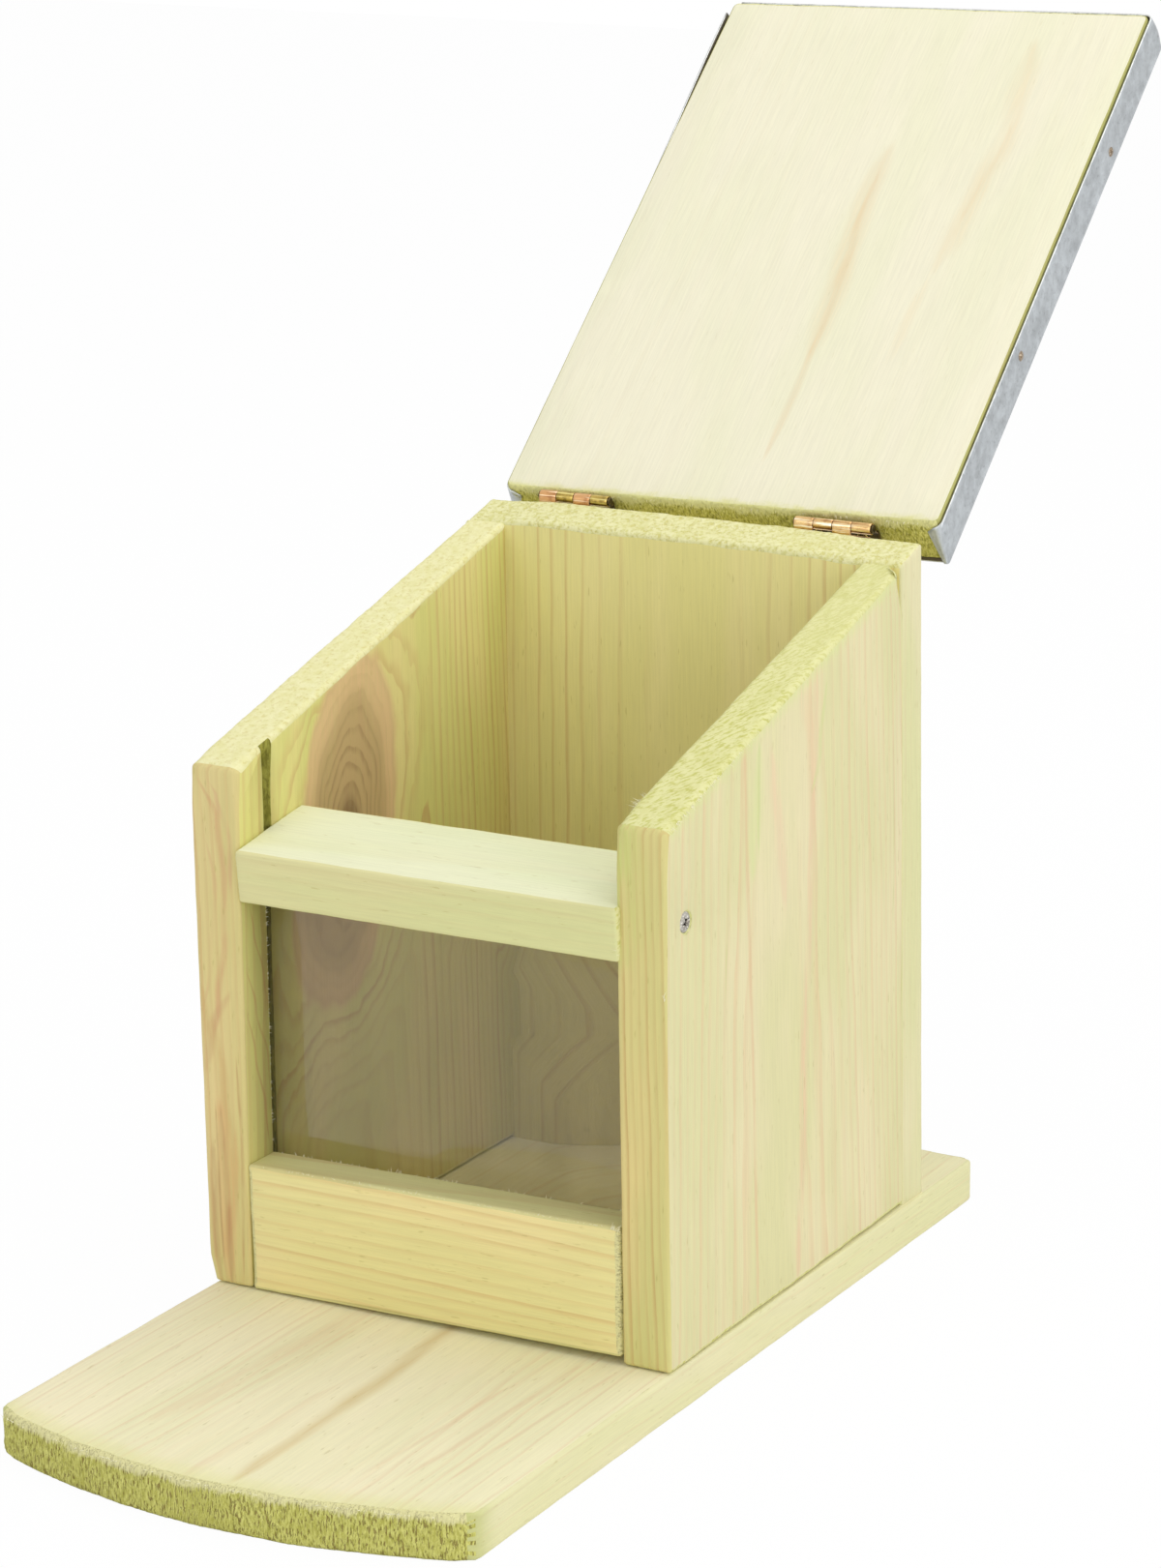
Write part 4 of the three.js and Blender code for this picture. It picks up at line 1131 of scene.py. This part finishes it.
def makeLeaf(name, place, body, node, finish, side):
    # A rolled leaf: a plate whose own tongues curl round the pin.
    v = leafValues
    half, pitch, inset = v["length"][side] / 2, v["length"][side] / v["knuckles"], v["endPlay"] / 2
    columns = []
    for k in range(v["knuckles"]):
        start = k * pitch - half + (inset if k else 0)
        end = (k + 1) * pitch - half - (inset if k < v["knuckles"] - 1 else 0)
        columns += [(blendBetween(start, end, j / v["columns"]), k) for j in range(v["columns"] + 1)]
    angles = [math.pi + math.radians(v["curl"]) * k / v["curlSteps"] for k in range(1, v["curlSteps"] + 1)]
    profile = [(-v["radius"], z) for z in v["plateHeights"]]
    profile += [(v["radius"] * math.cos(a), v["radius"] * math.sin(a)) for a in angles]
    points, faces, faceMaterials, rows = [], [], [], len(profile)
    for i, (x, knuckle) in enumerate(columns):
        for j, (y, z) in enumerate(profile):
            bare = Vector((x, y, z))
            if body == "lid" and j < v["plateRows"]:
                bare.y += leafLay(side, z)
            over = v["corner"] - half + abs(x)
            if z > v["reach"] - v["corner"] and over > 0:
                rounded = math.sqrt(max(0.0, v["corner"] ** 2 - over ** 2))
                bare.z = min(z, v["reach"] - v["corner"] + rounded)
            points.append(place @ bare)
            plate = j < v["plateRows"]
            rolled = knuckle % 2 == 1 and i + 1 < len(columns) and columns[i + 1][1] == knuckle
            if i + 1 < len(columns) and j + 1 < rows and (plate or rolled):
                a = i * rows + j
                faces.append([a, a + 1, a + rows + 1, a + rows])
                # plate faces take the dark plate finish, which is painted shade
                faceMaterials.append(1 if plate else 0)
    used = sorted({k for face in faces for k in face})
    renumber = {old: new for new, old in enumerate(used)}
    faces = [[renumber[k] for k in face] for face in faces]
    piece = meshPiece(name, [points[k] for k in used], faces, body,
                      (finish, "leafPlate", "leafRim"), node, faceMaterials)
    thicken(piece, v["thickness"])
    soften = piece.modifiers.new("wornEdges", "BEVEL")
    soften.width, soften.segments, soften.limit_method = v["edgeWear"] * mm, 2, "ANGLE"
    soften.material = 2


def makePin(name, profile, place, node, sides=28):
    # Turned about +Z from (radius, height) pairs, which start and end on the axis.
    points, faces = [place @ Vector((0, 0, profile[0][1]))], []
    rings = []
    for radius, height in profile[1:-1]:
        rings.append(list(range(len(points), len(points) + sides)))
        points += [place @ Vector((p.x, p.y, height)) for p in around(sides, radius)]
    faces += [[0, rings[0][(k + 1) % sides], rings[0][k]] for k in range(sides)]
    for lower, upper in zip(rings, rings[1:]):
        faces += bridge(lower, upper)
    faces += [[rings[-1][k], rings[-1][(k + 1) % sides], len(points)] for k in range(sides)]
    points.append(place @ Vector((0, 0, profile[-1][1])))
    # the pin takes the dark plate finish too: painted shade on its ends
    meshPiece(name, points, faces, "box", ("leafPlate",), node)


plainScrew = {
    "rise": 0, "cross": 0.6, "crossWidth": 0.15, "crossDepth": 1.2, "length": 24, "rimWidth": 0, "grid": 26,
    "slot": "zinc_plate", "looks": ("zinc", "recess"),
}
screwKinds = {
    "rail": {"head": 2.8, "rise": 0.75, "crossWidth": 0.17, "crossDepth": 1.3, "sink": 0.25},
    "base": {"head": 3.5, "sink": 2.0},
    "back": {"head": 3.2, "sink": 1.9},
    "leaf": {"head": 1.9, "rise": 0.9, "cross": 0.62, "crossWidth": 0.17, "crossDepth": 0.6, "sink": 0.15,
             "length": 8, "slot": "brass_plate", "looks": ("brass", "recess")},
    "nail": {"head": 1.5, "rise": 0.55, "cross": 0, "crossDepth": 0, "sink": 0.1, "length": 12,
             "rimWidth": 0.2, "slot": "copper_nail", "looks": ("nail", "nailRim")},
}


def makeScrew(name, kind, place, body, node, turn=0.0):
    # A head drawn on a grid that is rounded into a disc, with a cross recess pressed into it.
    v = {**plainScrew, **screwKinds[kind]}
    points, faces, faceMaterials, arms = [], [], [], []
    last, half = v["grid"], v["grid"] / 2
    side, spin = last + 1, Matrix.Rotation(turn, 4, "Z")

    def bar(beside, beyond):
        across = smoothStep(v["crossWidth"] + 0.05, v["crossWidth"] - 0.05, abs(beside))
        return across * smoothStep(v["cross"] + 0.06, v["cross"] - 0.12, abs(beyond))

    for i in range(side):
        for j in range(side):
            gx, gy = (i - half) / half, (j - half) / half
            x, y = gx * math.sqrt(1 - gy * gy / 2), gy * math.sqrt(1 - gx * gx / 2)
            out = math.hypot(x, y)
            arm = max(bar(gx, gy), bar(gy, gx))
            z = v["rise"] * (1 - out ** 2.6) + 0.02 if v["rise"] else -0.25 * smoothStep(0.86, 1.0, out)
            z -= v["crossDepth"] * arm * (1 - 0.45 * out)
            points.append(Vector((x * v["head"], y * v["head"], z)))
            arms.append(arm)
    for i in range(last):
        for j in range(last):
            a = i * side + j
            faces.append([a, a + side, a + side + 1, a + 1])
            rimmed = max(abs(i + 0.5 - half), abs(j + 0.5 - half)) > half * (1 - v["rimWidth"])
            # index 1 is the nail's rim, or the screw's cross recess, which takes painted shade
            faceMaterials.append(1 if rimmed or sum(arms[k] for k in faces[-1]) > 1.6 else 0)
    upper = [i * side for i in range(last)] + [last * side + j for j in range(last)]
    upper += [i * side + last for i in range(last, 0, -1)] + list(range(last, 0, -1))
    flat = [points[k].xy for k in upper]
    shank = [(1.0, 0.05 if v["rise"] else 0.3), (0.5, v["sink"] + 0.1), (0.5, v["length"] * 0.85),
             (0.08, v["length"])]
    for share, depth in shank:
        lower = list(range(len(points), len(points) + len(flat)))
        points += [Vector((spot.x * share, spot.y * share, -depth)) for spot in flat]
        faces += bridge(lower, upper)
        faceMaterials += [0] * len(flat)
        upper = lower
    faces.append(upper[::-1])
    faceMaterials.append(0)
    placed = [place @ (spin @ p) for p in points]
    meshPiece(name, placed, faces, body, v["looks"], node, faceMaterials)


def facing(way):  # turns +Z to look along way
    return Vector(way).to_track_quat("Z", "Y").to_matrix().to_4x4()


def makeHinges():
    v = leafValues
    out, height = v["screwOut"], v["screwHeight"]
    for side, x in v["places"].items():
        reach = v["length"][side] / 2 + v["endPlay"]
        fixedPlace = pinLine @ Matrix.Translation((x, 0, 0))
        movingPlace = lidFrame @ Matrix.Translation((x - hinge["lidShift"], 0, 0))
        turned = fixedPlace @ Matrix.Rotation(math.pi, 4, "Y")
        leaves = (("Fixed", "box", turned), ("Moving", "lid", movingPlace))
        for (kind, body, place), finish in zip(leaves, v["finishes"][side]):
            makeLeaf(f"{side}Hinge{kind}Leaf", place, body, f"hinge_{side}_{kind.lower()}_leaf", finish, side)
        profile = [(r, z - reach) for r, z in v["pinHead"]]
        profile += [(r, -z) for r, z in profile[::-1]]
        pinPlace = fixedPlace @ Matrix.Rotation(math.pi / 2, 4, "Y")
        makePin(f"{side}HingePin", profile, pinPlace, f"hinge_{side}_pin")
        for k, sign in enumerate((-1, 1)):
            at = sign * (v["length"][side] / 2 - v["screwIn"])
            ends = (("Back", "box", fixedPlace, (at, out, -height), 0.5),
                    ("Lid", "lid", movingPlace, (at, out + leafLay(side, height), height), 1.1))
            for kind, body, place, spot, turn in ends:
                makeScrew(f"{side}Hinge{kind}Screw{k + 1}", "leaf",
                          place @ Matrix.Translation(spot) @ facing(yWay), body,
                          f"hinge_{side}_{kind.lower()}_screw_{k + 1}", turn + k)


makeHinges()
print("stage: hinges")

nailValues = {"edge": 68.0, "nails": [{"setback": 63.5, "height": 5.6}, {"setback": 142, "height": 8.6}]}
railScrew = {"sunk": 0.35, "turn": 0.35}


def makeFasteners():
    for side, sign in (("left", -1), ("right", 1)):
        outwards = facing((sign, 0, 0))
        at = leanBox(Vector((sign * (boxLean["halfWidth"] - railScrew["sunk"]), *sideValues["screw"])))
        makeScrew(f"{side}RailScrew", "rail", Matrix.Translation(at) @ outwards, "box", f"rail_screw_{side}",
                  railScrew["turn"])
        for k, nail in enumerate(nailValues["nails"]):
            spot = Vector((sign * nailValues["edge"], lidValues["end"] - nail["setback"],
                           lidValues["underside"] + nail["height"]))
            place = lidFrame @ Matrix.Translation(twistLid(spot)) @ outwards
            makeScrew(f"{side}CoverNail{k + 1}", "nail", place, "lid", f"cover_nail_{side}_{k + 1}", k)
    for name in sorted(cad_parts):
        low, high = nodeBox(name)
        middle = (low + high) / 2
        first, *rest = name.split("_")
        title = first + "".join(word.capitalize() for word in rest)
        if name.startswith("base_screw"):
            place = Matrix.Translation((middle.x, middle.y, low.z + 0.02)) @ facing(-zWay)
            makeScrew(title, "base", place, "box", name, middle.x + middle.y)
        elif name.startswith("back_screw"):
            at = leanBox(Vector((middle.x, high.y - 0.02, middle.z)))
            makeScrew(title, "back", Matrix.Translation(at) @ facing(yWay), "box", name, middle.z)


makeFasteners()
print("stage: screws and nails")

# Torn fibres: each bunch is (from, to, way, spread, count, length, bow), rooted along a line and pointing
# roughly one way. Box places are in the model's frame, lid places in the lid's own.
fibreValues = {"thick": 0.2, "rows": 6, "sides": 5, "rooted": 0.12}
fibreBunches = {
    "box": [
        ((55.4, -18.5, 156.9), (54.4, -23.6, 155.4), (-0.9, -0.1, 0.05), 0.45, 70, 3),
        ((54.4, -35.2, 131), (54.6, -35.4, 119.5), (-0.5, -0.6, 0.2), 0.6, 10, 1.6),
        ((67, -34.9, 113), (67.2, -34.9, 110), (0.3, -0.4, 0.9), 0.25, 4, 3.6),
        ((52, -35, 48.4), (55, -35, 48), (0.5, -0.3, 0.6), 0.6, 16, 2.2),
        ((-53, -34.8, 46.8), (53, -34.8, 48.6), (0.3, -0.5, 0.4), 0.6, 70, 1),
        ((-53, -23.2, 46.9), (53, -23.2, 48.7), (0.2, -0.2, 0.8), 0.6, 50, 1.2),
        ((67.6, -33, 153.5), (66.2, 90, 188), (0.8, 0, -0.7), 0.4, 200, 1.3),
        ((-55.5, -23.2, 50), (-55.5, -23.2, 117), (0.8, 0.25, 0.1), 0.5, 70, 0.8),
        ((-64, -134.3, 11.7), (64, -134.3, 11.7), (0.1, -0.7, 0.3), 0.5, 80, 1, (0, -10.6, 0)),
    ],
    "lid": [
        ((24, -2, -0.2), (62, -1.9, -0.2), (0.3, 0.9, 0.25), 0.4, 46, 1.3),
        ((-64, -2, -0.2), (24, -2, -0.2), (0.2, 0.9, 0.25), 0.4, 60, 1),
    ],
}


def makeFibres(body, chance):
    v = fibreValues
    rows, sides, points, faces = v["rows"], v["sides"], [], []

    def anyWay(size):
        return Vector([chance.uniform(-size, size) for _ in range(3)])

    for start, end, towards, spread, count, longest, *bow in fibreBunches[body]:
        for _ in range(count):
            along = chance.random()
            root = Vector(start).lerp(Vector(end), along)
            root += Vector(bow[0] if bow else (0, 0, 0)) * 4 * along * (1 - along)
            way = (Vector(towards).normalized() + anyWay(spread)).normalized()
            curl = anyWay(0.5)
            length = longest * chance.uniform(0.35, 1.0)
            across = way.orthogonal().normalized()
            beside = way.cross(across)
            rings = []
            for row in range(rows):
                share = row / rows
                middle = root + (way * (share - v["rooted"]) + curl * share * share) * length
                thick = v["thick"] * (1 - share * share) / 2
                rings.append(list(range(len(points), len(points) + sides)))
                points += [middle + (across * p.x + beside * p.y) * thick for p in around(sides)]
            points.append(root + (way * (1 - v["rooted"]) + curl) * length)
            for lower, upper in zip(rings, rings[1:]):
                faces += bridge(lower, upper)
            last, tip = rings[-1], len(points) - 1
            faces += [[last[k], last[(k + 1) % sides], tip] for k in range(sides)]
            faces.append(rings[0][::-1])
    placed = [(lidFrame @ twistLid(p) if body == "lid" else leanBox(p)) * mm for p in points]
    piece = linked(f"{body}Fibres", rawMesh(f"{body}Fibres", placed, faces, [finishes["splinterSawn"]]))
    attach(piece, body)


fibreChance = random.Random(5)
makeFibres("box", fibreChance)
makeFibres("lid", fibreChance)
print("stage: torn fibres")


def makeFloor():
    steps, size = 8, 3.0
    marks = [size * (2 * k / steps - 1) for k in range(steps + 1)]
    starts = [i * (steps + 1) + j for i in range(steps) for j in range(steps)]
    mesh = bpy.data.meshes.new("paleFloor")
    mesh.from_pydata([(x, y, 0) for x in marks for y in marks], [],
                     [[a, a + steps + 1, a + steps + 2, a + 1] for a in starts])
    f = Finish("paleFloor")
    f.dress(base=(0.9, 0.9, 0.9, 1), roughness=0.9)
    glow = f.node("Emission", {0: (1, 1, 1, 1), 1: 1.0})
    both = f.node("MixShader", {0: f.times(f.seenRays(), 0.97), 1: f.shader.outputs[0], 2: glow.outputs[0]})
    feed(f.tree.nodes["Material Output"].inputs[0], both.outputs[0])
    mesh.materials.append(f.material)
    linked("paleFloor", mesh)


lightValues = {
    "sky": 0.62, "aim": (0, 0, 0.12),
    "lamps": {
        "topSoftbox": {"at": (0.3, 0.35, 1.6), "size": 1.5, "power": 9.5},
        "rightSoftbox": {"at": (1.7, -0.5, 0.8), "size": 1.4, "power": 9.0},
        "frontSoftbox": {"at": (-0.3, -1.9, 0.8), "size": 1.3, "power": 5.5},
    },
}


def makeLight():
    world = bpy.data.worlds.new("paleSky")
    bpy.context.scene.world = world
    w = Wiring(world)
    sky = w.tree.nodes["Background"]
    feed(sky.inputs[0], (1, 1, 1, 1))
    feed(sky.inputs[1], lightValues["sky"])
    white = w.node("Background", {0: (1, 1, 1, 1)})
    both = w.node("MixShader", {0: w.seenRays(), 1: sky.outputs[0], 2: white.outputs[0]})
    feed(w.tree.nodes["World Output"].inputs[0], both.outputs[0])
    for name, v in lightValues["lamps"].items():
        lamp = bpy.data.lights.new(name, "AREA")
        lamp.shape, lamp.size, lamp.energy = "DISK", v["size"], v["power"]
        ray = Vector(lightValues["aim"]) - Vector(v["at"])
        lampObject = linked(name, lamp)
        lampObject.location, lampObject.rotation_euler = v["at"], ray.to_track_quat("-Z", "Y").to_euler()


cameraValues = {
    "at": (0.57643, -0.96933, 0.45371), "lens": 104.64, "azimuth": 29.637, "elevation": 15.149, "roll": 0.575,
}


def makeCamera():
    v = cameraValues
    azimuth, elevation, roll = (math.radians(v[k]) for k in ("azimuth", "elevation", "roll"))
    flat = math.cos(elevation)
    ahead = Vector((-math.sin(azimuth) * flat, math.cos(azimuth) * flat, -math.sin(elevation)))
    right = ahead.cross(zWay).normalized()
    down = ahead.cross(right)
    rightRolled = right * math.cos(roll) + down * math.sin(roll)
    downRolled = down * math.cos(roll) - right * math.sin(roll)
    data = bpy.data.cameras.new("photoCamera")
    data.lens, data.sensor_width, data.clip_start, data.clip_end = v["lens"], 36, 0.05, 20
    camera = linked("photoCamera", data)
    camera.matrix_world = basis(rightRolled, -downRolled, -ahead, v["at"])
    bpy.context.scene.camera = camera


makeFloor()
makeLight()
makeCamera()
bpy.context.scene.view_settings.view_transform = "Standard"
print("stage: floor, light and camera")
